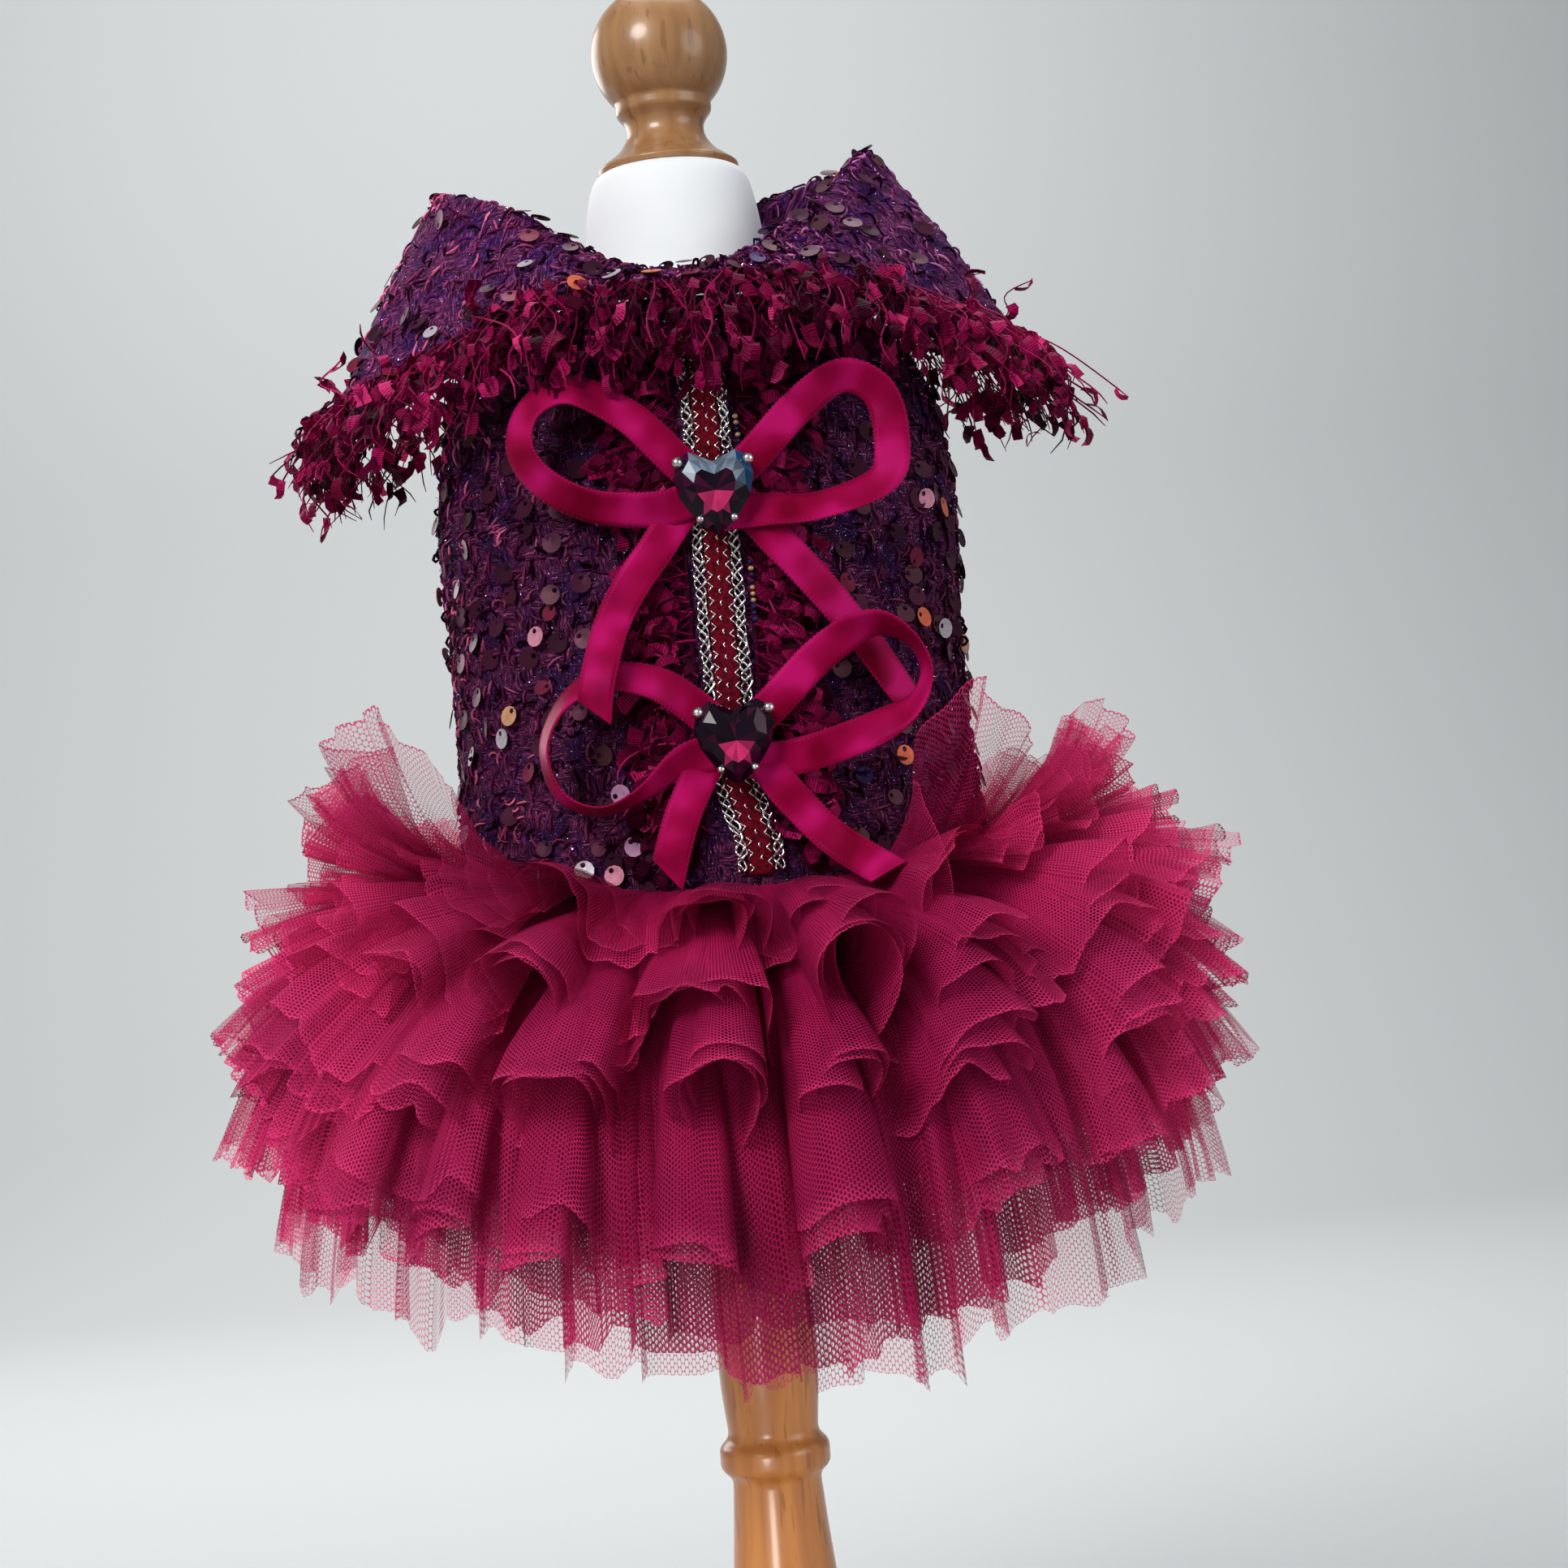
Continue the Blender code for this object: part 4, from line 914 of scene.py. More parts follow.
def looseThreads(face, count, rows, rng, lengths, lifts, radius, shares=threadShares):
    # short threads that lie on the cloth in a curve and stand off it in the middle
    steps = 5
    row = rng.uniform(rows[0], rows[1], count)
    column = rng.uniform(2, face["points"].shape[1] - 3, count)
    places = readGrid(face["points"], row, column)
    offBraid = (np.abs(places[:, 0]) > 10 * mm) | (places[:, 1] > 0) | (places[:, 2] > 482 * mm)
    row, column, count = row[offBraid], column[offBraid], int(offBraid.sum())
    spacing = readGrid(face["spacing"], row, column)
    length = rng.uniform(lengths[0], lengths[1], count) * mm
    angle = rng.choice([0.0, math.pi / 2], count, p=[0.4, 0.6]) + rng.normal(0, 0.35, count)
    share = np.linspace(-0.5, 0.5, steps)[None]
    bend = rng.normal(0, 0.8, count)[:, None]
    turnBy = angle[:, None] + bend * share
    along = length[:, None] * share
    rowPath = row[:, None] + along * np.sin(turnBy) / spacing[:, :1]
    columnPath = column[:, None] + along * np.cos(turnBy) / spacing[:, 1:]
    lift = (rng.uniform(lifts[0], lifts[1], count)[:, None] * (1 - (2 * share) ** 2) + 0.15) * mm
    paths = onFace(face, rowPath, columnPath, lift)
    thick = np.full((count, steps), radius * mm) * np.array([0.5, 1, 1.1, 1, 0.5])
    normals = readGrid(face["normals"], row, column)[:, None] * np.ones((1, steps, 1))
    points, faces = tubeSet(paths, thick, normals, 3)
    colours = threadColours[rng.choice(len(threadColours), count, p=shares)]
    across, height = places[offBraid][:, :1], places[offBraid][:, 2:]
    # painted light: paler on the left and high up, with a painted violet sheen high up on the right
    paintedLit = paintedThreadLight["least"] + smoothStep(0.034, 0.068, -across) * np.array(paintedThreadLight["left"])
    violet = smoothStep(0.0, 0.05, across) * np.array(paintedThreadLight["highRight"])
    paintedLit = paintedLit * (1 + smoothStep(0.470, 0.492, height) * (paintedThreadLight["high"] + violet))
    tints = np.repeat(colours * rng.uniform(0.6, 1.3, (count, 1)) * paintedLit, steps * 3, 0)
    return points, faces, tints


def glintBits(face, count, rows, rng):
    # flat slivers of lurex, each turned its own way
    row = rng.uniform(rows[0], rows[1], count)
    column = rng.uniform(1, face["points"].shape[1] - 2, count)
    origin = onFace(face, row, column, rng.uniform(0.25, 0.8, count) * mm)
    shape = np.array([(-1, 0, 0), (1, 0, 0), (0, 0.55, 0.15), (0, -0.2, 0.6)])
    faces = [np.array([(0, 2, 1), (0, 1, 3), (1, 2, 3), (2, 0, 3)])]
    axes = unit(rng.normal(0, 1, (count, 3, 3)))
    points, groups = scatter(shape, faces, origin, axes, rng.uniform(0.22, 0.5, count) * mm)
    tints = np.repeat(glintColours[rng.choice(len(glintColours), count, p=[0.4, 0.3, 0.2, 0.1])], 4, 0)
    return points, groups, tints


def sequinShape(look):
    # a thin dished disc with an off-centre hole, joined ring to ring
    angle = tau * np.arange(look["segments"]) / look["segments"]
    circle = np.stack([np.cos(angle), np.sin(angle)], -1)
    hole = circle * look["hole"] + np.array([0, look["holeAt"]])
    rings = []
    for flat, level in ((circle, 0), (circle, 1), (hole, 1), (hole, 0)):
        height = look["dish"] * (flat ** 2).sum(1) + level * look["thickness"]
        rings.append(np.concatenate([flat, height[:, None]], 1))
    count = look["segments"]
    return np.concatenate(rings), [ringQuads(count, index * count, (index + 1) % 4 * count)
                                   for index in range(4)]


def sequinSet(face, count, rows, rng, shares, spacing=5.5):
    # sequins scattered over a face, no two too close
    row = rng.uniform(rows[0], rows[1], count * 3)
    column = rng.uniform(4, face["points"].shape[1] - 5, count * 3)
    places = readGrid(face["points"], row, column)
    offBraid = (np.abs(places[:, 0]) > 12.5 * mm) | (places[:, 1] > 0) | (places[:, 2] > 482 * mm)
    kept = []
    for index in np.nonzero(offBraid)[0]:
        if len(kept) < count and (not kept or np.min(np.linalg.norm(places[kept] - places[index], axis=1))
                                  > spacing * mm):
            kept.append(index)
    row, column = row[kept], column[kept]
    count = len(kept)
    origin = onFace(face, row, column, rng.uniform(1.0, 1.9, count) * mm)
    tints = sequinColours[rng.choice(len(sequinColours), count, p=shares)]
    size = rng.choice([1.0, 0.82], count, p=[0.8, 0.2]) * sequinLook["radius"] * mm
    return hangSequins(origin, unit(readGrid(face["normals"], row, column)), tints, size, 0.5, rng)


def brightSequinSet(rng):
    # the few bright ones that stand out on the panel: across, height and which colour
    across, height, which = np.array(brightSequins, float).T
    origin = bodyAcross(across * mm, height * mm, np.full_like(across, 4.2) * mm)
    beside = bodyAcross(across * mm + 0.5 * mm, height * mm, np.full_like(across, 4.2) * mm) - origin
    normal = unit(np.cross(beside, np.array([0, 0, 1.0])))
    size = np.full(len(across), sequinLook["radius"] * mm)
    return hangSequins(origin, normal, sequinColours[which.astype(int)], size, 0.2, rng)


def hangSequins(origin, normal, tints, size, steepest, rng):
    # discs that hang from their hole, each tilted off the cloth its own way
    count = len(origin)
    down = unit(np.array([0, 0, 1.0]) - normal * normal[:, 2:])
    side = np.cross(down, normal)
    swing = rng.normal(0, 0.9, count)[:, None]
    up = down * np.cos(swing) + side * np.sin(swing)
    side = np.cross(up, normal)
    tilt = rng.uniform(0.05, steepest, count)[:, None]
    lean = rng.normal(0, 0.22, count)[:, None]
    facing = unit(normal * np.cos(tilt) + up * np.sin(tilt) + side * lean)
    side = unit(np.cross(up, facing))
    up = np.cross(facing, side)
    axes = np.stack([side, up, facing], 1)
    shape, groups = sequinShape(sequinLook)
    points, faces = scatter(shape, groups, origin, axes, size)
    return points, faces, np.repeat(tints, len(shape), 0)


# how many of each lie on a face, and the rows of its grid between which they lie
tweedLook = {
    "seed": 5,
    "back": {"rows": (8, 164), "threads": 2500, "tufts": 150, "glints": 4200, "sequins": 190,
             "sequinRows": (10, 158), "shares": panelShares},
    "side": {"rows": (6, 116), "threads": 300, "tufts": 0, "glints": 400, "sequins": 55,
             "sequinRows": (10, 112), "shares": sequinShares},
    "cape": {"rows": (1, 70), "threads": 1500, "tufts": 90, "glints": 2600, "sequins": 110,
             "sequinRows": (4, 66), "shares": sequinShares},
}


def dressTweed(look):
    rng = np.random.default_rng(look["seed"])
    dressed = [(backFace, look["back"]), (rightFace, look["side"]), (leftFace, look["side"]),
               (collarFace, look["cape"])]
    for face, _ in dressed:
        face["spacing"] = faceSpacing(face)
    threads = [looseThreads(face, part["threads"], part["rows"], rng, (3, 7), (0.2, 0.9), 0.40)
               for face, part in dressed]
    threads += [looseThreads(face, part["tufts"], part["rows"], rng, (3, 6), (1.0, 2.4), 0.5, tuftShares)
                for face, part in dressed if part["tufts"]]
    glints = [glintBits(face, part["glints"], part["rows"], rng) for face, part in dressed]
    sequins = [sequinSet(face, part["sequins"], part["sequinRows"], rng, part["shares"])
               for face, part in dressed]
    sequins.append(brightSequinSet(rng))
    made = []
    for name, shapes, material in (("tweedThreads", threads, yarnMaterial("plumYarn", False)),
                                   ("tweedGlints", glints, glintMaterial("lurex", 0.18, 1.0)),
                                   ("tweedSequins", sequins, glintMaterial("sequinFoil", 0.3, 0.1))):
        points, faces, tints = joinShapes(shapes)
        made.append(newPiece(name, points, faces, material, tint=tints,
                             smooth=name == "tweedThreads"))
    return made


tweedPieces = dressTweed(tweedLook)
print("tweed threads, glints and sequins made")


# Ladder yarn fringes

yarn = yarnMaterial("crimsonYarn", True)
yarnColours = np.array([(0.270, 0.004, 0.060), (0.170, 0.002, 0.036), (0.430, 0.012, 0.110),
                        (0.090, 0.001, 0.022), (0.620, 0.030, 0.170)])
yarnShares = [0.32, 0.28, 0.20, 0.12, 0.08]
fringeLook = {"steps": 12, "thread": 0.27, "flagLength": 6.2, "flagWidth": 3.9, "flagThickness": 0.16,
              "flagSteps": 5}


def strandPaths(root, aim, along, length, bend, curl, rng):
    # each strand leaves its root along its aim, bends to the ground and curls from side to side
    count, steps = len(root), fringeLook["steps"]
    share = np.linspace(0, 1, steps)[None, :, None]
    down = np.array([0, 0, -1.0])
    heading = unit(aim)[:, None] * (1 - bend[:, None, None] * share) + down * bend[:, None, None] * share
    path = root[:, None] + np.cumsum(np.concatenate(
        [np.zeros((count, 1, 3)), unit(heading[:, 1:])], 1), 1) * (length / (steps - 1))[:, None, None]
    phase = rng.uniform(0, tau, (count, 2))
    speed = rng.uniform(3.0, 8.5, (count, 2))
    outward = unit(np.cross(along, np.array([0, 0, 1.0])))
    size = curl[:, None, None] * share
    path += along[:, None] * size * np.sin(speed[:, :1] * share[..., 0] + phase[:, :1])[..., None]
    path += outward[:, None] * size * 0.8 * np.sin(speed[:, 1:] * share[..., 0] + phase[:, 1:])[..., None]
    return path


def clearOfBody(paths, gap, cover=1.0):
    # points nearer the axis than the body and a gap go straight out, and none stands further than the cover
    angle = np.arctan2(paths[..., 0], -paths[..., 1])
    reach = np.hypot(paths[..., 0], paths[..., 1])
    nearest, furthest = (bodyReach(angle, paths[..., 2], lift) for lift in (gap, gap + cover))
    wanted = np.clip(reach, nearest, furthest)
    return roundAxis(angle, wanted, wanted, paths[..., 2])


def ladderYarn(paths, along, flags, spread, shade, rng):
    # a thin thread down each path, and flat ribbed flags threaded on it; the spread is how far a flag's
    # width may turn away from the along direction, and the shade darkens the strands that lie deep
    count, steps = paths.shape[:2]
    taper = np.concatenate([np.ones(steps - 1), [0.5]])
    thick = fringeLook["thread"] * mm * taper[None] * rng.uniform(0.8, 1.15, (count, 1))
    reference = along[:, None] * np.ones((1, steps, 1))
    points, faces = tubeSet(paths, thick, reference, 4)
    colours = yarnColours[rng.choice(len(yarnColours), count, p=yarnShares)]
    shapes = [(points, faces, np.repeat(colours * shade[:, None], steps * 4, 0))]
    rows = fringeLook["flagSteps"]
    lengthOf = np.linalg.norm(np.diff(paths, axis=1), axis=2).sum(1) / mm
    down = lengthOf[:, None, None] * np.linspace(0, 1, steps)[None, :, None] + np.arange(4) * 0.15
    flats = [np.stack([np.zeros_like(down), down], -1).reshape(-1, 2)]
    bow = np.sin(np.linspace(0, math.pi, rows))[None, :, None]
    for flag in range(flags):
        size = rng.uniform(0.7, 1.15, count)
        start = np.clip((flag + rng.uniform(0.0, 1.0, count)) / flags, 0.08, 0.95) * (steps - 1)
        steady = (fringeLook["flagLength"] * size / lengthOf * (steps - 1))[:, None]
        where = start[:, None] + np.linspace(0, 1, rows)[None] * steady
        where = where + np.minimum(0, steps - 1.02 - where[:, -1:])
        low = np.clip(where.astype(int), 0, steps - 2)
        part = (where - low)[..., None]
        strand = np.arange(count)[:, None]
        middle = paths[strand, low] * (1 - part) + paths[strand, low + 1] * part
        heading = unit(np.gradient(middle, axis=1))
        flatWay = unit(along[:, None] - heading * (heading * along[:, None]).sum(-1, keepdims=True))
        upWay = np.cross(heading, flatWay)
        spin = (rng.uniform(-spread, spread, count)[:, None, None]
                + rng.uniform(-0.8, 0.8, count)[:, None, None] * np.linspace(-1, 1, rows)[None, :, None])
        across = flatWay * np.cos(spin) + upWay * np.sin(spin)
        beside = np.cross(across, heading)
        width = fringeLook["flagWidth"] * mm * (size * rng.uniform(0.7, 1.1, count))[:, None, None]
        edge = 1 + rng.uniform(-0.16, 0.10, (count, rows, 1))
        offset = rng.uniform(0.1, 0.6, count)[:, None, None]
        hollow = beside * 1.5 * mm * bow * rng.choice([-1, 1], (count, 1, 1))
        near = middle - across * width * edge * offset + hollow
        far = middle + across * width * edge * (1 - offset) + hollow
        thin = beside * fringeLook["flagThickness"] * mm
        corners = np.stack([near, far, far + thin, near + thin], 2)
        tints = yarnColours[rng.choice(len(yarnColours), count, p=yarnShares)]
        tints = tints * rng.uniform(0.8, 1.4, (count, 1)) * shade[:, None]
        shapes.append((corners.reshape(-1, 3), cappedTubes(count, rows, 4), np.repeat(tints, rows * 4, 0)))
        lengthwise = np.linspace(0, fringeLook["flagLength"], rows)
        flat = np.stack(np.broadcast_arrays(np.array([0, 1, 1, 0])[None] * 4.0, lengthwise[:, None]), -1)
        flats.append(np.tile(flat.reshape(-1, 2), (count, 1)))
    points, faces, tints = joinShapes(shapes)
    return points, faces, tints, np.concatenate(flats)


def finishFringe(name, node, strands, core, radius, reference, sides, colour):
    # the strands and the strip that they are sewn to, as one piece
    points, faces, tints, flats = strands
    strip = tubeSet(core[None], np.full((1, len(core)), radius * mm), np.array(reference), sides)
    points, faces, tints = joinShapes([(points, faces, tints), (*strip, np.array(colour))])
    flats = np.concatenate([flats, np.zeros((len(strip[0]), 2))])
    return newPiece(name, points, faces, yarn, [node], flat=flats, tint=tints, smooth=False)


collarFringeLook = {
    "end": 116.0,
    "strands": 530,
    "flags": 2,
    "frontLength": 36.0,
    "wingLength": 33.0,
    "spreadLength": 15.0,
    "backing": 1.1,
}


def capeEdge(angle):
    edge = collarSection(angle)[0]
    return turnRound(angle, edge[:, 0], edge[:, 1])


def makeCollarFringe(look):
    # strands from the cape's edge: they hang in front and stand out at the wings
    rng = np.random.default_rng(71)
    count = look["strands"]
    # the strands stand closer together towards the wings
    share = np.linspace(-1, 1, count)
    angle = look["end"] * (1.30 * share - 0.30 * share ** 3) + rng.normal(0, 0.3, count)
    wing = smoothStep(38, 72, np.abs(angle))
    upShare = rng.choice([0.0, 1.0], count, p=[0.5, 0.5]) * rng.uniform(0.2, 1.0, count) * (1 - 0.75 * wing)
    section = collarSection(angle)
    edge, middle = section[0], section[1]
    start = edge + (middle - edge) * (upShare * (0.95 - 0.6 * wing))[:, None]
    root = turnRound(angle, start[:, 0], start[:, 1])
    along = unit(capeEdge(angle + 1) - capeEdge(angle - 1))
    outward = unit(np.cross(along, np.array([0, 0, 1.0])))
    root += outward * (0.6 + 1.8 * upShare[:, None]) * mm
    deep = rng.uniform(0, 1, count) < 0.42 - 0.22 * wing
    rise = np.where(deep, 0.0, rng.uniform(0.1, 1.0, count)) * (0.35 + 0.12 * wing) + upShare * 0.4
    aim = (outward * (0.45 + rise)[:, None] - np.array([0, 0, 1.0]) * rng.uniform(0.2, 1.0, count)[:, None]
           + along * (rng.normal(0, 0.62, count) * (1 + 0.7 * wing))[:, None])
    underBow = np.exp(-((np.abs(angle) - 36) / 13) ** 2)
    length = (look["frontLength"] * (1 - 0.22 * underBow) + (look["wingLength"] - look["frontLength"]) * wing
              + rng.uniform(-0.5, 0.5, count) * look["spreadLength"]) * mm
    stray = (rng.uniform(0, 1, count) < 0.022) & ~deep
    aim = np.where(stray[:, None], outward * 0.5 + np.array([0, 0, 0.9]), aim)
    bend = np.where(stray, 0.15, rng.uniform(0.55, 1.0, count) * (1 - 0.08 * wing))
    length = np.where(stray, 13 * mm, length)
    curl = rng.uniform(1.5, 5.5, count) * (1 + 0.5 * wing) * mm
    paths = strandPaths(root, aim, along, length, bend, curl, rng)
    paths = clearOfBody(paths, np.where(deep, 3.0, rng.uniform(4.0, 6.5, count))[:, None] * mm)
    # painted shade on the deep strands and painted light on the wings
    shade = np.where(deep, 0.14, rng.uniform(0.8, 1.25, count) * (1 + 0.35 * wing))
    strands = ladderYarn(paths, along, look["flags"], 1.0, shade, rng)
    steps = np.linspace(-look["end"], look["end"], 200)
    line = collarSection(steps)[0]
    core = turnRound(steps, line[:, 0] + 0.3 * mm, line[:, 1] - 1.2 * mm)
    return finishFringe("collarFringe", "collar_fringe", strands, core, look["backing"], (0, 0, 1.0), 8,
                        (0.10, 0.003, 0.02))


placketLook = {
    "inner": 7.5,
    "width": 3.0,
    "bottom": 334.0,
    "top": 476.0,
    "strands": 200,
    "flags": 2,
    "length": (14.0, 30.0),
    "backing": 0.8,
    "backingLift": 3.2,
}


def makePlacketFringe(name, node, side, look):
    # strands from a strip beside the braid: they lie outwards on the panel and droop
    rng = np.random.default_rng(83 if side > 0 else 89)
    count = look["strands"]
    height = rng.uniform(look["bottom"], look["top"], count) * mm
    across = side * (look["inner"] + rng.uniform(0, look["width"], count)) * mm
    root = bodyAcross(across, height, 3.4 * mm)
    normal = unit(root * np.array([1, 1, 0]))
    along = np.tile(np.array([0, 0, 1.0]), (count, 1))
    outward = unit(np.cross(along, normal)) * side
    aim = (outward + normal * rng.uniform(0.0, 0.45, count)[:, None]
           + along * rng.normal(-0.25, 0.55, count)[:, None])
    length = rng.uniform(*look["length"], count) * mm
    paths = strandPaths(root, aim, outward, length, rng.uniform(0.3, 0.8, count),
                        rng.uniform(1.0, 4.0, count) * mm, rng)
    deep = rng.uniform(0, 1, count) < 0.5
    gap = np.where(deep, 2.6, rng.uniform(3.4, 5.4, count))[:, None] * mm
    paths = clearOfBody(paths, gap, 1.5 * mm)
    shade = np.where(deep, 0.13, rng.uniform(0.8, 1.2, count))
    flagWay = unit(np.cross(outward, normal))
    strands = ladderYarn(paths, flagWay, look["flags"], 0.7, shade, rng)
    steps = np.linspace(look["bottom"], look["top"], 60) * mm
    core = bodyAcross(side * (look["inner"] + look["width"] / 2) * mm, steps, look["backingLift"] * mm)
    return finishFringe(name, node, strands, core, look["backing"], (1.0, 0, 0), 6, (0.03, 0.001, 0.008))


collarFringe = makeCollarFringe(collarFringeLook)
placketLeft = makePlacketFringe("placketFringeLeft", "placket_fringe_left", -1, placketLook)
placketRight = makePlacketFringe("placketFringeRight", "placket_fringe_right", 1, placketLook)
print("fringes made")


# Centre braid: velvet, silver stitches and two plaited chains

silver = silverMaterial()
velvet = velvetMaterial()
braidLook = {
    "bottom": 322.0,
    "top": 483.0,
    "lift": 2.3,
    "velvetHalf": 3.5,
    "velvetHeight": 1.3,
    "chainAt": 5.2,
    "plait": 4.4,
    "plaitWidth": 1.35,
    "plaitDepth": 0.55,
    "wire": 0.40,
    "stitchPitch": 3.7,
    # across, half width, half length and start of each row of stitches
    "stitches": [(-2.7, -1.3, 1.3, 0.0), (2.7, 1.3, 1.3, 1.7), (0.0, 0.5, 0.9, 2.6)],
    "beads": [(392, 408), (436, 449)],
    "beadAt": 8.6,
    "beadLift": 4.9,
    "beadPitch": 1.75,
    "beadColours": [(0.02, 0.03, 0.12), (0.62, 0.42, 0.22), (0.05, 0.02, 0.08)],
}


def braidSwing(height):
    # the braid swings to the right below the lower stone
    return 5.0 * (1 - smoothStep(328, 352, height))


def makeVelvet(look):
    # a crowned strip: its height over the panel falls off towards both edges
    height = np.linspace(look["bottom"], look["top"], 240)[:, None] * mm
    across = np.array([-1, -1, -0.92, -0.6, -0.2, 0.2, 0.6, 0.92, 1, 1])[None]
    crown = np.array([0, 0.7, 0.95, 1.0, 1.0, 1.0, 1.0, 0.95, 0.7, 0])[None]
    nap = 0.10 * hills(across * 7, height / mm / 1.2, 3)
    lift = look["lift"] + look["velvetHeight"] * crown * (1 + nap)
    place = across * look["velvetHalf"] + braidSwing(height / mm)
    points = bodyAcross(place * mm, height + 0 * across, lift * mm)
    return newPiece("velvetStrip", points, cappedTubes(1, *points.shape[:2]), velvet,
                    ["braid_velvet"])


def makeChain(name, node, side, look, stitches):
    # three wires plaited: across is a sine, out is a sine twice as fast, each wire a third of a turn on
    height = np.linspace(look["bottom"] + 1, look["top"] - 1, 420)
    phase = tau * height / (2 * look["plait"])
    paths = []
    for third in range(3):
        angle = phase + third * tau / 3 + 0.5 * hills(height / 5, height * 0, 60 + third)
        across = (braidSwing(height) + side * look["chainAt"] + look["plaitWidth"] * np.sin(angle)
                  + 0.35 * hills(height / 2.3, height * 0, 70 + third + side))
        lift = (look["lift"] + 1.0 + look["plaitDepth"] * np.sin(2 * angle)
                + 0.3 * hills(height / 1.9, height * 0, 80))
        paths.append(bodyAcross(across * mm, height * mm, lift * mm))
    paths = np.stack(paths)
    thick = look["wire"] * mm * (1 + 0.35 * hills(height[None] / 0.9, np.arange(3)[:, None] * 7.0, 90))
    wires = tubeSet(paths, thick, np.array([0, -1.0, 0]), 6)
    shapes = [(*wires, np.ones(3))]
    if stitches:
        share = np.linspace(-1, 1, 7)[None]
        for place, wide, long, start in look["stitches"]:
            levels = np.arange(look["bottom"] + 2 + start, look["top"] - 2, look["stitchPitch"])[:, None]
            levels = levels + 0.5 * hills(levels, levels * 0, 95)
            across = place + wide * (np.abs(share) - 0.5) + 0.4 * hills(levels * 1.3, levels * 0, 96)
            rise = levels + long * share
            lift = look["lift"] + look["velvetHeight"] + 0.25 * (1 - share * share) + 0 * rise
            bars = bodyAcross((across + braidSwing(rise)) * mm, rise * mm, lift * mm)
            thick = np.interp(np.abs(share), [0, 0.8, 1], [1, 0.9, 0.5]) * 0.27 * mm + 0 * rise
            shapes.append((*tubeSet(bars, thick, np.array([0, -1.0, 0]), 5), np.ones(3)))
    points, faces, _ = joinShapes(shapes)
    return newPiece(name, points, faces, silver, [node])


def ballShape(rows, columns):
    angle = math.pi * np.arange(rows + 1) / rows
    return lathe(np.stack([np.sin(angle), -np.cos(angle)], -1), columns)


def makeBeads(look):
    # a strung row of navy and gold beads outside the right chain
    rng = np.random.default_rng(17)
    level = np.concatenate([np.arange(*stretch, look["beadPitch"]) for stretch in look["beads"]])
    across = look["beadAt"] + 0.5 * hills(level / 9, level * 0, 6)
    origins = bodyAcross(across * mm, level * mm, np.full_like(level, look["beadLift"]) * mm)
    axes = np.tile(np.eye(3) * np.array([1.0, 1.0, 0.85])[:, None], (len(level), 1, 1))
    shape, groups = ballShape(6, 8)
    points, faces = scatter(shape, groups, origins, axes, rng.uniform(0.72, 0.95, len(level)) * mm)
    colours = np.array(look["beadColours"])[rng.choice(3, len(level), p=[0.4, 0.4, 0.2])]
    tints = np.repeat(colours, len(shape), 0)
    return newPiece("trimBeads", points, faces, glintMaterial("beadGlass", 0.12, 0.5),
                    tint=tints)


velvetStrip = makeVelvet(braidLook)
chainLeft = makeChain("chainLeft", "braid_chain_left", -1, braidLook, True)
chainRight = makeChain("chainRight", "braid_chain_right", 1, braidLook, False)
trimBeads = makeBeads(braidLook)
print("braid made")


# Bows: ribbon routes from each stone's centre in mm, as across, up, lift off the body and the turn of
# the ribbon's width out of the panel in degrees

satin = satinMaterial()
bowLook = {"width": 10.0, "cloth": 0.5, "fallBack": 1.8, "picot": 1.3, "picotDepth": 0.16, "rows": 7,
           "notch": 3.0}
bowHeights = {"top": 426.0, "bottom": 358.0}
bowRoutes = {
    "bowTop": [(-3, 4, 6.7, 0), (-10, 11.5, 6.8, 0), (-22, 24, 9, 15), (-37, 32, 11, 30),
               (-48, 27.5, 12, 45), (-51.5, 17, 12, 45), (-46, 7, 11, 40), (-33, -0.5, 9.5, 35),
               (-15, -2.5, 8.1, 20), (-6, 0, 8.0, 0), (9, 8, 8.0, 0), (25, 23, 9.5, 10), (38, 31, 11, 30),
               (48, 26, 12, 30), (50.5, 13, 12, 10), (47, 1.5, 12, 30), (29, -4.5, 9.5, 35),
               (14, -4.5, 7.8, 20), (3, -4.5, 6.7, 0)],
    "bowBottom": [(-3, 4, 6.7, 0), (-10, 11, 6.8, 0), (-20, 18, 10.5, 20), (-33, 20.5, 12.5, 40),
                  (-45, 15, 12.5, 68), (-51.5, 3, 12.5, 78), (-48.5, -10, 12.5, 78), (-38, -15.5, 12, 78),
                  (-26, -11.5, 10, 68), (-15, -4, 8.6, 35), (-5, -1, 8.0, 0), (9, 8, 8.0, 0),
                  (26, 23, 9.5, 8), (40, 30, 11.5, 45), (50, 26, 13, 76), (54.5, 17, 13.5, 80),
                  (51, 8, 13, 65), (41, 2, 11.5, 25), (27, -2.5, 9, 5), (14, -5, 6.8, 0), (3, -4.5, 6.7, 0)],
    "bowTopTails": [(-38, -60, 22.5, 62), (-35.5, -47, 21.5, 40), (-29.5, -31, 14.0, 10), (-19, -16, 9.2, 0),
                    (0, 3, 5.3, 0), (18, -15, 8.6, 0), (36, -37, 8.6, 0), (53, -62, 7.8, 0)],
    "bowBottomTails": [(-22, -37, 10.5, 0), (-14, -15, 8.6, 0), (0, 3, 5.3, 0), (14, -15, 8.6, 0),
                       (25, -28, 13.0, 0), (38.5, -39.5, 33.0, 0)],
}


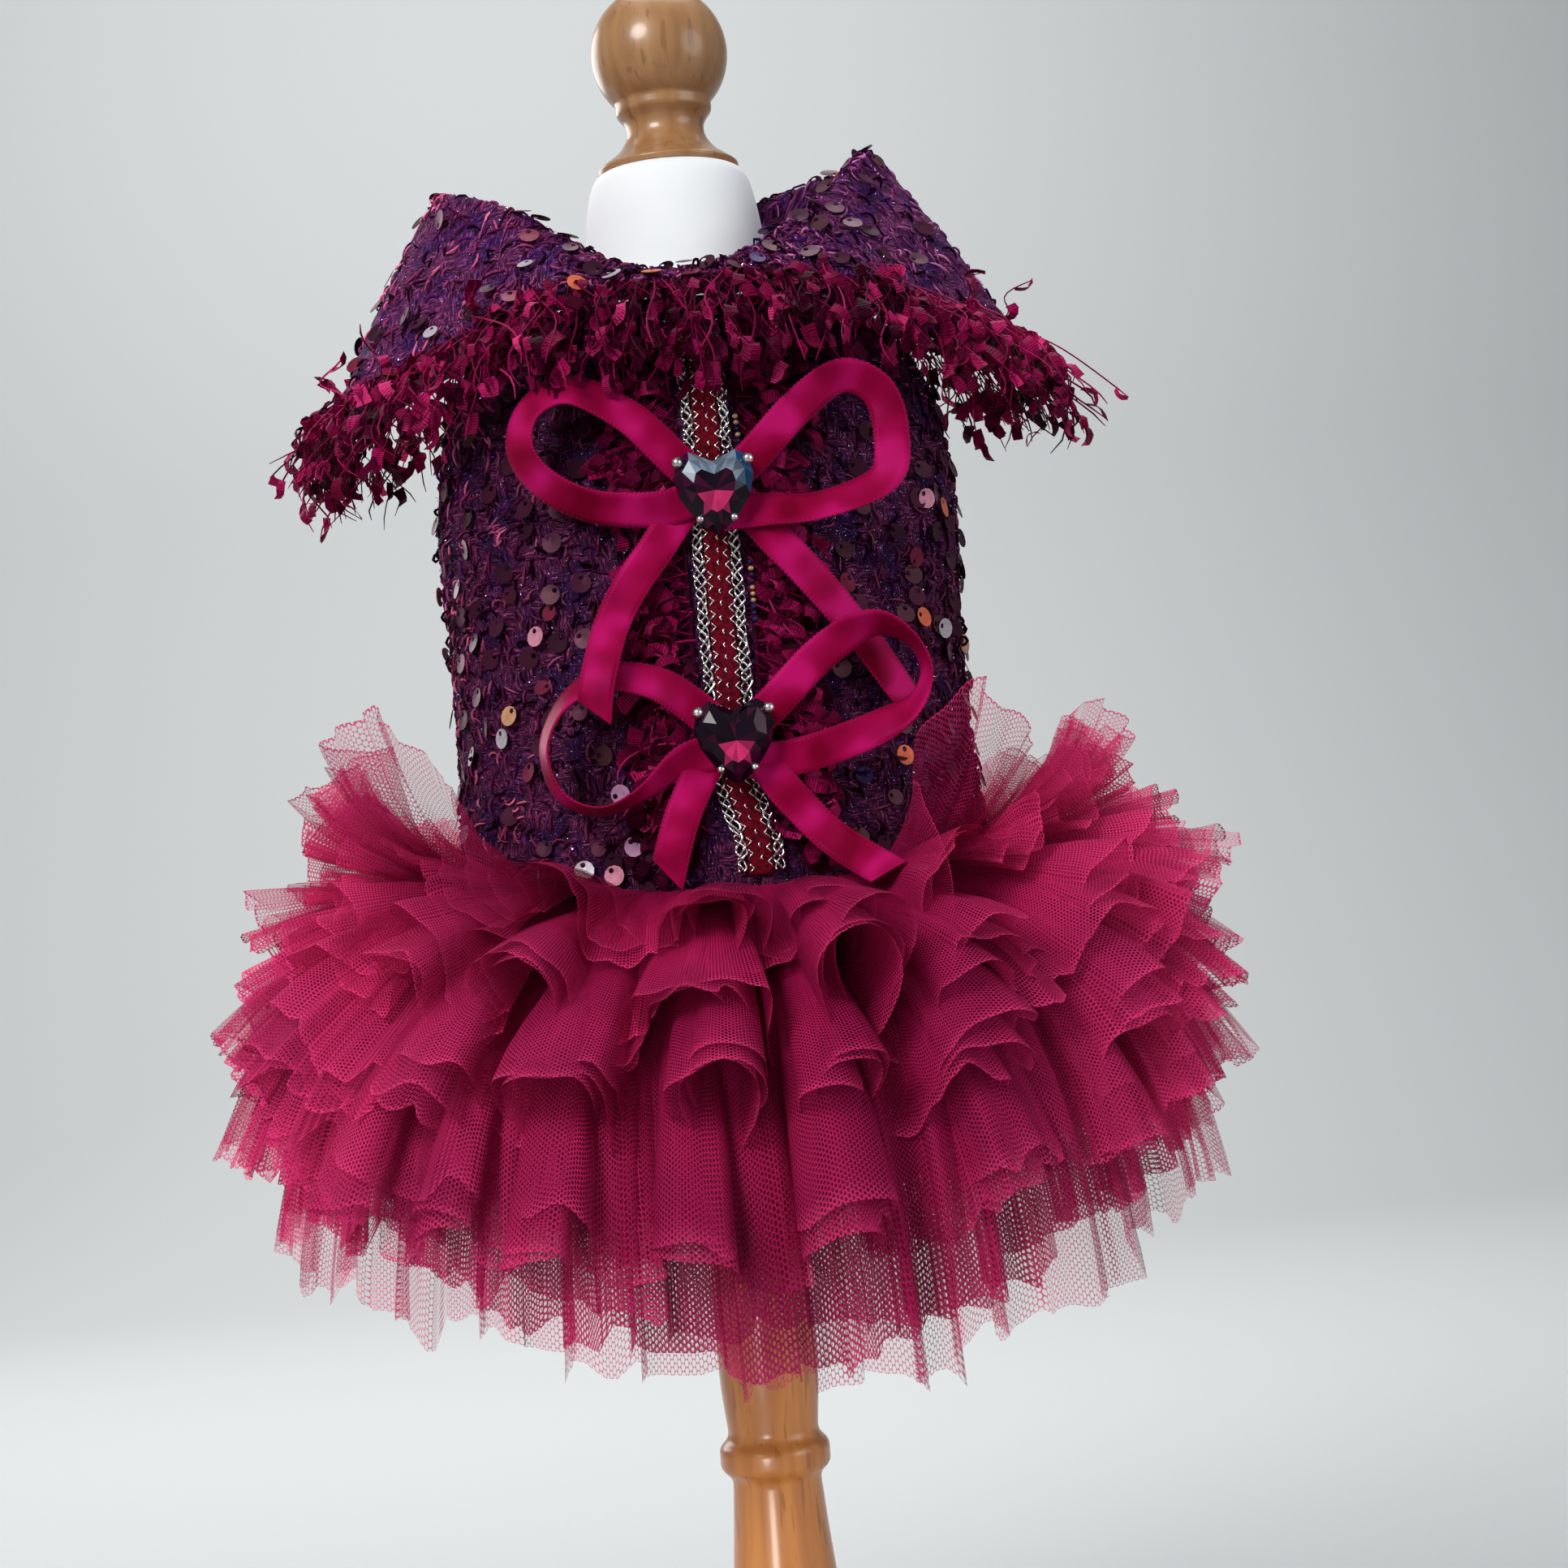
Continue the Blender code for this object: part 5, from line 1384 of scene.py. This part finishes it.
def ribbonLine(route, height, tails, samples):
    # centres along the route, and the direction of the ribbon's width at each
    route = np.asarray(route, float)
    line = curveThrough(route, np.linspace(0, len(route) - 1, samples))
    across, up, lift = line[:, 0] * mm, height * mm + line[:, 1] * mm, line[:, 2] * mm
    if tails:
        centres = bodyAcross(across, up, lift)
    else:
        _, halfDepth = bodyRadii(up)
        centres = np.stack([across, -(halfDepth + lift) + bowLook["fallBack"] * across ** 2, up], -1)
    tangent = unit(np.gradient(line[:, :2], axis=0))
    turn = np.radians(line[:, 3])
    widths = np.stack([-tangent[:, 1] * np.cos(turn), -np.sin(turn), tangent[:, 0] * np.cos(turn)], -1)
    if tails:
        beside = widths * bowLook["width"] * 0.4 * mm
        widths = unit(bodyAcross(across + beside[:, 0], up + beside[:, 2], lift) - centres)
    return centres, widths


def makeRibbon(name, node, height, look):
    # a woven strip: rows across its width, with small picots along both edges; notched tail ends
    tails = name.endswith("Tails")
    centres, widths = ribbonLine(bowRoutes[name], height, tails, 900)
    length = np.concatenate([[0], np.cumsum(np.linalg.norm(np.diff(centres, axis=0), axis=1))]) / mm
    even = np.linspace(0, length[-1], int(length[-1] / (look["picot"] / 4)))
    centres = np.stack([np.interp(even, length, centres[:, axis]) for axis in range(3)], -1)
    widths = unit(np.stack([np.interp(even, length, widths[:, axis]) for axis in range(3)], -1))
    tangent = unit(np.gradient(centres, axis=0))
    share = np.linspace(-1, 1, look["rows"])[:, None]
    picot = look["picotDepth"] * np.cos(tau * even / look["picot"])[None]
    reach = share * (look["width"] / 2 + picot * (np.abs(share) > 0.99))
    along = np.zeros_like(reach)
    if tails:
        near = np.clip(1 - even[None] / 12, 0, 1)
        far = np.clip(1 - (even[-1] - even[None]) / 12, 0, 1)
        notch = look["notch"]
        along = near * (share * notch + notch) - far * (notch - share * notch)
    points = centres[None] + (widths[None] * reach[..., None] + tangent[None] * along[..., None]) * mm
    normals = gridNormals(points)
    half = look["cloth"] * mm / 2
    rows, columns = points.shape[:2]
    both = np.stack([points + normals * half, points - normals * half])
    faces = gridFaces(rows, columns)
    index = np.arange(rows * columns).reshape(rows, columns)
    border = np.concatenate([index[0, :-1], index[:-1, -1], index[-1, :0:-1], index[:0:-1, 0]])
    after = np.roll(border, -1)
    offset = rows * columns
    rim = np.stack([after, border, border + offset, after + offset], -1)
    flat = np.stack(np.broadcast_arrays(share * look["width"] / 2, even[None]), -1).reshape(-1, 2)
    piece = newPiece(name, both, [faces, offset + faces[:, ::-1], rim], satin, [node],
                     flat=np.concatenate([flat, flat]))


for name, node, place in (("bowTop", "bow_top", "top"), ("bowBottom", "bow_bottom", "bottom"),
                          ("bowTopTails", "bow_top_tails", "top"),
                          ("bowBottomTails", "bow_bottom_tails", "bottom")):
    makeRibbon(name, node, bowHeights[place], bowLook)
print("bows made")


# Heart stones in claw settings

stoneLook = {
    "width": 22.0,
    "height": 23.0,
    "back": 10.0,
    "girdle": (12.1, 12.7),
    "front": 16.0,
    "table": 0.52,
    "crown": 0.80,
    "plate": (8.75, 9.65),
    "claw": 0.8,
    "clawTop": 13.96,
    "knobs": (1.15, 1.6),  # the lower and the upper claws
    "claws": (0.2, 0.4, 0.6, 0.8),
    # painted reflections: the tint of each kind of facet
    "colours": {"deep": (0.006, 0.002, 0.007), "middle": (0.62, 0.030, 0.15), "pale": (0.19, 0.25, 0.33),
                "blue": (0.01, 0.07, 0.18), "plum": (0.045, 0.002, 0.022)},
}
crystal = crystalMaterial()


def heartLine(turn):
    # a heart outline by its turn from 0 to 1: the notch is at 0 and the point at a half
    angle = tau * np.asarray(turn, float)
    across = 0.35 * np.sin(angle) ** 3 + 0.65 * np.sin(angle)
    up = 13.5 * np.cos(angle) - 3.6 * np.cos(2 * angle) - 1.4 * np.cos(3 * angle) - 0.8 * np.cos(4 * angle)
    return np.stack([across * stoneLook["width"] / 2, (up + 3) / 28 * stoneLook["height"]], -1)


def heartRing(count, scale, depth, height, offset=0.0):
    # the outline scaled about its middle, at a depth out of the body
    _, halfDepth = bodyRadii(height * mm)
    centre = np.array([0, 0.5])
    flat = centre + (heartLine((np.arange(count) + offset) / count) - centre) * scale
    return np.stack([flat[:, 0] * mm, np.full(count, -(halfDepth + depth * mm)),
                     (height + flat[:, 1]) * mm], -1)


def makeHeart(name, node, height, seed):
    # flat facets: pavilion, girdle, crown and a table cut into large triangles
    look = stoneLook
    count = 16
    rings = [heartRing(count, 0.45, look["back"], height), heartRing(count, 1.0, look["girdle"][0], height),
             heartRing(count, 1.0, look["girdle"][1], height),
             heartRing(count, look["crown"], 0.45 * look["girdle"][1] + 0.55 * look["front"], height, 0.5),
             heartRing(count, look["table"], look["front"], height)]
    middle = heartRing(1, 0.0, look["front"] + 0.15, height)
    points = np.concatenate([*rings, middle])
    column = np.arange(count)
    after = (column + 1) % count
    girdle, crown, table = 2 * count, 3 * count, 4 * count
    faces = ringQuads(count, count, 0).tolist() + ringQuads(count, girdle, count).tolist()
    faces += np.stack([girdle + column, crown + column, girdle + after], -1).tolist()
    faces += np.stack([girdle + after, crown + column, crown + after], -1).tolist()
    faces += np.stack([crown + column, table + after, crown + after], -1).tolist()
    faces += np.stack([crown + column, table + column, table + after], -1).tolist()
    faces += np.stack([table + column, np.full(count, 5 * count), table + after], -1).tolist()
    faces.append(list(range(count)))
    finishHeart(name, node, points, faces, height, seed)


def finishHeart(name, node, points, faces, height, seed):
    # every facet gets its own corners, so that it can have its own tint of painted reflection
    rng = np.random.default_rng(seed)
    paintedPaleAndBlue = name.endswith("Top")
    corners, groups, tints, start = [], [], [], 0
    for face in faces:
        own = points[face]
        middle = own.mean(0)
        across, up = middle[0] / mm, middle[2] / mm - height
        kind = "deep"
        if abs(across) < 3.4 and -6.0 < up < -0.5:
            kind = "middle"
        elif up > 4.5 and abs(across) < 7.5 and paintedPaleAndBlue:
            kind = "pale"
        elif across > 7.0 and up > 0 and paintedPaleAndBlue:
            kind = "blue"
        elif rng.uniform() < 0.35:
            kind = "plum"
        colour = np.array(stoneLook["colours"][kind])
        tints.append(np.tile(colour * rng.uniform(0.5, 1.3), (len(face), 1)))
        corners.append(own)
        groups.append([list(range(start, start + len(face)))])
        start += len(face)
    newPiece(name, np.concatenate(corners), groups, crystal, [node],
             tint=np.concatenate(tints), smooth=False)


def makeSetting(name, node, height):
    # a heart plate behind the stone, a gallery bar to each claw, and a round claw head
    look = stoneLook
    count = 48
    back, front = (heartRing(count, 0.9, depth, height) for depth in look["plate"])
    column = np.arange(count)[None]
    wall = ringQuads(count, count, 0)
    shapes = [(np.concatenate([back, front]), [wall, column, (column + count)[:, ::-1]], np.ones(3))]
    _, halfDepth = bodyRadii(height * mm)
    for turn in look["claws"]:
        along = unit(heartLine(turn + 0.01) - heartLine(turn - 0.01))
        aside = np.array([-along[1], along[0]])
        outer = heartLine(turn) - aside * 0.5
        upper = turn < 0.3 or turn > 0.7
        inner = heartLine(turn) - aside * 3
        share = np.linspace(0, 1, 9)[:, None]
        flat = np.concatenate([inner + (outer - inner) * share[:5], np.repeat(outer[None], 6, 0)])
        plate = sum(look["plate"]) / 2
        depth = np.concatenate([np.full(5, plate), np.linspace(plate + 0.4, look["clawTop"], 6)])
        path = np.stack([flat[:, 0] * mm, -(halfDepth + depth * mm), (height + flat[:, 1]) * mm], -1)[None]
        thick = np.concatenate([np.full(5, 0.45), np.full(6, look["claw"])])[None] * mm
        shapes.append((*tubeSet(path, thick, np.array([along[0], 0, along[1]]), 10), np.ones(3)))
        head, groups = ballShape(10, 16)
        origin = path[0, -1][None]
        shapes.append((*scatter(head, groups, origin, np.eye(3)[None], np.array([look["knobs"][upper] * mm])),
                       np.ones(3)))
    points, faces, _ = joinShapes(shapes)
    newPiece(name, points, faces, silver, [node])


for place, bowHeight in bowHeights.items():
    makeSetting("setting" + place.capitalize(), "setting_" + place, bowHeight)
    makeHeart("heart" + place.capitalize(), "heart_" + place, bowHeight, 7 if place == "top" else 9)
print("stones made")


# Tulle tiers: root height in front, rim reach and height at the side and in front, the arch between
# them, and the ruffle at the side and in front, in mm

tulleLook = {
    "tiers": [(319, 113, 359, 106, 312, 7), (315.5, 144, 320, 126, 284, 3), (312, 147, 287, 135, 258, 2),
              (308.5, 143, 260, 135, 231, 1), (305, 127, 241, 126, 207, 0)],
    # where the rim stands up or dips: degrees from the front, width in degrees and height in mm
    "firstPlyHumps": [(36, 10, 42.0), (300, 13, 28.0)],
    "topTierHumps": [(20, 9, -11.0)],
    "topTierDrop": 4.0,
    "frontRuffle": [10.0, 18.0, 20.0, 13.0, 5.0],
    "sideRuffle": [8.0, 6.0, 5.0, 4.5, 4.0],
    "reaches": [0.95, 0.93, 0.94, 1.02, 1.07],
    "rightTrim": [0, 0, 0.06, 0.10, 0.08],
    "leftTrim": [0, 0.11, 0, 0, 0],
    "droop": [0.55, 0.30, 0.30, 0.6, 1.0],  # in front, as a share of the full arc
    "loops": [18, 22, 21, 24, 29],
    "seed": 40,
    "creases": [96, 104, 110, 118, 126],
    "rootLift": 2.9,
    "sideRaise": 8.0,
    "plies": 3,
    "columns": 760,
    "netPitch": 0.95,
    "veil": 0.15,
    # the tulle's own colour, and the painted glow of light through single plies
    "deepColour": (0.43, 0.0040, 0.076),
    "paintedGlowColour": (0.88, 0.046, 0.210),
    "edge": 0.45,
    "usualDepth": 74.0,
}


def humps(turn, stated):
    return sum(high * np.exp(-((np.degrees(turn) - place) / wide) ** 2) for place, wide, high in stated)


def tierPly(number, ply, look):
    # one ply, from root to rim: its level runs from 0 at the top tier to 4 at the lowest, and a tier's
    # plies lie close together in front and spread at the side; the ruffle is an S-curve, a cosine out of
    # the cloth and a sine twice as fast along it
    column = np.arange(look["columns"])[None] / look["columns"]
    turn = tau * column
    side = np.sin(turn) ** 2
    level = number - 1 + (ply - 1) * (0.09 + 0.24 * side)
    rootHeight, sideReach, sideHeight, frontReach, frontHeight, arch = np.moveaxis(
        curveThrough(look["tiers"], level), -1, 0)
    seed = 100 * number + 10 * ply
    rng = np.random.default_rng(seed)
    phase = rng.uniform(0, tau, 12)
    shared = np.random.default_rng(number + look["seed"]).uniform(0, tau, 12)
    loops = look["loops"][number - 1]
    angle = (loops * turn + 1.0 * np.sin(3 * turn + shared[1]) + 0.8 * np.sin(5 * turn + shared[2])
             + 0.5 * np.sin(9 * turn + shared[3]) + (ply - 1) * (0.35 + 0.3 * np.sin(2 * turn + shared[8])))
    uneven = ((1 + 0.26 * np.sin(7 * turn + shared[4]) + 0.2 * np.sin(11 * turn + shared[5]))
              * (1 + 0.14 * (ply - 1) * np.sin(4 * turn + shared[9])))
    wedge = (int(rng.integers(13, 18)) * column + 0.3 * np.sin(2 * turn + phase[6])) % 1.0
    stretch = (np.interp(level, np.arange(5), look["reaches"]) + 0.15 * (wedge - 0.5) * (0.35 + 0.65 * side)
               + 0.03 * np.sin(3 * turn + phase[7]) + 0.03 * hills(column * 256, column * 0, seed)
               + (0.06 if ply == 1 else -0.04) * side
               + (0.08 * (1 - side) if ply == 1 else -0.03) * (number == 5)
               - look["rightTrim"][number - 1] * np.maximum(0, np.sin(turn)) ** 2
               - look["leftTrim"][number - 1] * np.maximum(0, -np.sin(turn)) ** 2)
    root = bodyPoint(turn, (rootHeight + look["sideRaise"] * side) * mm,
                     look["rootLift"] * mm + closureRise(turn))
    raised = humps(turn, look["firstPlyHumps"]) * (number == 1 and ply == 0)
    raised = raised + humps(turn, look["topTierHumps"]) * (number == 1)
    climb = side ** np.interp(level, [2.5, 3.5], [1.0, 0.72])
    rimHeight = (sideHeight * climb + (frontHeight - look["topTierDrop"] * (number == 1)) * (1 - climb)
                 + raised)
    rim = roundAxis(turn, sideReach, frontReach, rimHeight) * mm
    rim = root + (rim - root) * stretch[..., None]
    return root, rim, turn, side, angle, uneven, loops, arch[..., None], phase, level, seed


def plySurface(number, ply, look, share):
    root, rim, turn, side, angle, uneven, loops, arch, phase, level, seed = tierPly(number, ply, look)
    span = rim - root
    outward = unit(span * np.array([1, 1, 0]))
    size = np.linalg.norm(span, axis=-1, keepdims=True)
    place = np.clip(level, 0, 4)
    droop = (0.85 * side + np.interp(place, np.arange(5), look["droop"]) * (1 - side))[..., None]
    arched = root + outward * size * 0.5 + arch * side[..., None] * np.array([0, 0, mm])
    bend = (root + rim) / 2 * (1 - droop) + arched * droop
    s = share[..., None]
    point = root * (1 - s) ** 2 + bend * 2 * s * (1 - s) + rim * s ** 2
    heading = unit((bend - root) * (1 - s) + (rim - bend) * s)
    tangent = np.cross(np.array([0, 0, 1.0]), outward)
    normal = unit(np.cross(heading, tangent))
    growth = share ** 1.1
    front = np.interp(place, np.arange(5), look["frontRuffle"])
    beside = np.interp(place, np.arange(5), look["sideRuffle"])
    wave = (beside * side + front * (1 - side) ** 1.4) * uneven
    radius = np.hypot(rim[..., 0], rim[..., 1]) / mm
    swing = 0.5 * radius / loops * (0.4 * side + 1.7 * (1 - side)) * uneven
    creases = look["creases"][number - 1]
    folds = np.sin(creases * turn + 1.6 * np.sin(4 * turn + phase[8]) + 0.9 * np.sin(angle))
    crease = np.arcsin(0.97 * folds)
    column = turn / tau
    out = (-wave * np.cos(angle) * growth
           + (0.6 + 0.7 * side) * crease * (0.25 + 0.75 * share)
           + 2.4 * growth * hills(column * 64, share * 2.5, seed + 1)
           + 0.7 * growth * hills(column * 192, share * 6, seed + 2)) * mm
    aside = (swing * growth * np.sin(2 * angle)
             + 2.2 * growth * hills(column * 64, share * 2.0, seed + 3)) * mm
    reach = 2.2 * growth * hills(column * 128, share * 0, seed + 4) * mm
    points = point + normal * out[..., None] + tangent * aside[..., None] + heading * reach[..., None]
    # painted light: a glow towards the rim and at the sides, where single plies let light through
    thin = share ** 1.5 * (0.25 + 0.75 * side) + 0 * turn
    folded = smoothStep(0.80, 1.0, folds) * smoothStep(-0.3, 0.5, hills(column * 90, share * 1.5, seed + 5))
    # how far the single ply is let through: the long ply at the sides, and most of the lowest tier
    sheer = (ply == 1) * 0.7 * smoothStep(0.70, 0.92, share) * (0.25 + 0.75 * side)
    sheer = sheer + (number == 1 and ply == 0) * 0.75 * smoothStep(0.2, 0.7, share)
    sheer = sheer + (number == 5) * (0.5 * smoothStep(0.78, 0.97, share) if ply == 1
                                     else -0.45 * smoothStep(0.4, 0.7, share))
    return points, folded, thin, sheer + 0 * turn


def makeTier(number, look):
    # rows close up at the rim, where a thin dense edge is the cut
    edge = look["edge"] / look["usualDepth"]
    share = np.array([0, 0.08, 0.17, 0.27, 0.37, 0.47, 0.57, 0.67, 0.77, 0.87, 0.96,
                      1 - 2 * edge, 1 - edge, 1.0])[:, None]
    made = [plySurface(number, ply, look, share) for ply in range(look["plies"])]
    plies, folds, thin, sheer = (np.stack([ply[part] for ply in made]) for part in range(4))
    count, rows, columns = plies.shape[:3]
    edges = np.linalg.norm(np.diff(plies, axis=2, append=plies[:, :, :1]), axis=3)
    across = np.cumsum(edges[:, -1], 1) / mm
    depth = np.linalg.norm(np.diff(plies, axis=1), axis=3).sum(1).mean() / mm
    gather = edges.sum(2) / edges[:, -1].sum(1)[:, None]
    dense = (1.2 * (1 - gather) - 0.5)[:, :, None] + (0.5 + 0.5 * (number > 3)) * folds - sheer
    dense[:, -2:] = np.interp(number, [3, 4, 5], [1.2, 0.3, -0.3]) - 1.4 * sheer[:, -2:]
    dense = np.maximum(dense, -0.9)
    # painted light: the glow, stronger on the rim rows, mixes the tulle's colour towards the glow colour
    thin = np.where(share > 0.97, 0.5 + 0.5 * thin, thin)[..., None]
    tints = np.array(look["deepColour"]) * (1 - thin) + np.array(look["paintedGlowColour"]) * thin
    # painted shade: the lower tiers are darker in front
    before = np.maximum(0, np.cos(tau * np.arange(columns) / columns))[:, None] ** 2
    tints = tints * (1 - before * np.interp(number, [2, 4], [0.0, 0.3]))
    flats, groups = [], []
    for ply in range(count):
        start = ply * rows * columns
        groups.append(start + gridFaces(rows, columns, closed=True)[:, ::-1])
        flats.append(np.stack(np.broadcast_arrays(across[ply][None], share * depth), -1))
    piece = newPiece(f"tulleTier{number}", plies, groups, look["material"], [f"tulle_tier_{number}"],
                     flat=np.stack(flats), dense=dense, tint=tints)


tulleLook["material"] = tulleMaterial()
for number in range(1, 6):
    makeTier(number, tulleLook)
print("tulle made")


# Stage, camera, lights and world


def makeStage(look):
    # a floor that curves up into a wall behind: one profile carried to both sides
    angle = np.linspace(0, math.pi / 2, 24)
    curve = look["curve"]
    y = np.concatenate([[look["front"]], look["wall"] + curve * np.sin(angle), [look["wall"] + curve]])
    z = np.concatenate([[0], curve - curve * np.cos(angle), [look["height"]]])
    x = np.array([look["halfWidth"], -look["halfWidth"]])
    points = np.stack(np.broadcast_arrays(x[None], y[:, None], z[:, None]), -1)
    mesh = bpy.data.meshes.new("paleStage")
    mesh.from_pydata(points.reshape(-1, 3).tolist(), [], gridFaces(len(y), 2).tolist())
    mesh.polygons.foreach_set("use_smooth", np.full(len(mesh.polygons), True))
    material, _ = newMaterial("paleStage", {"Base Color": (*look["colour"], 1.0), "Roughness": 0.9})
    mesh.materials.append(material)
    stage = bpy.data.objects.new("paleStage", mesh)
    bpy.context.scene.collection.objects.link(stage)


makeStage(stageLook)
makeCamera(cameraLook)
for light in lightLooks:
    makeLight(*light)
makeWorld(worldLight)
print("stage, camera and lights made")
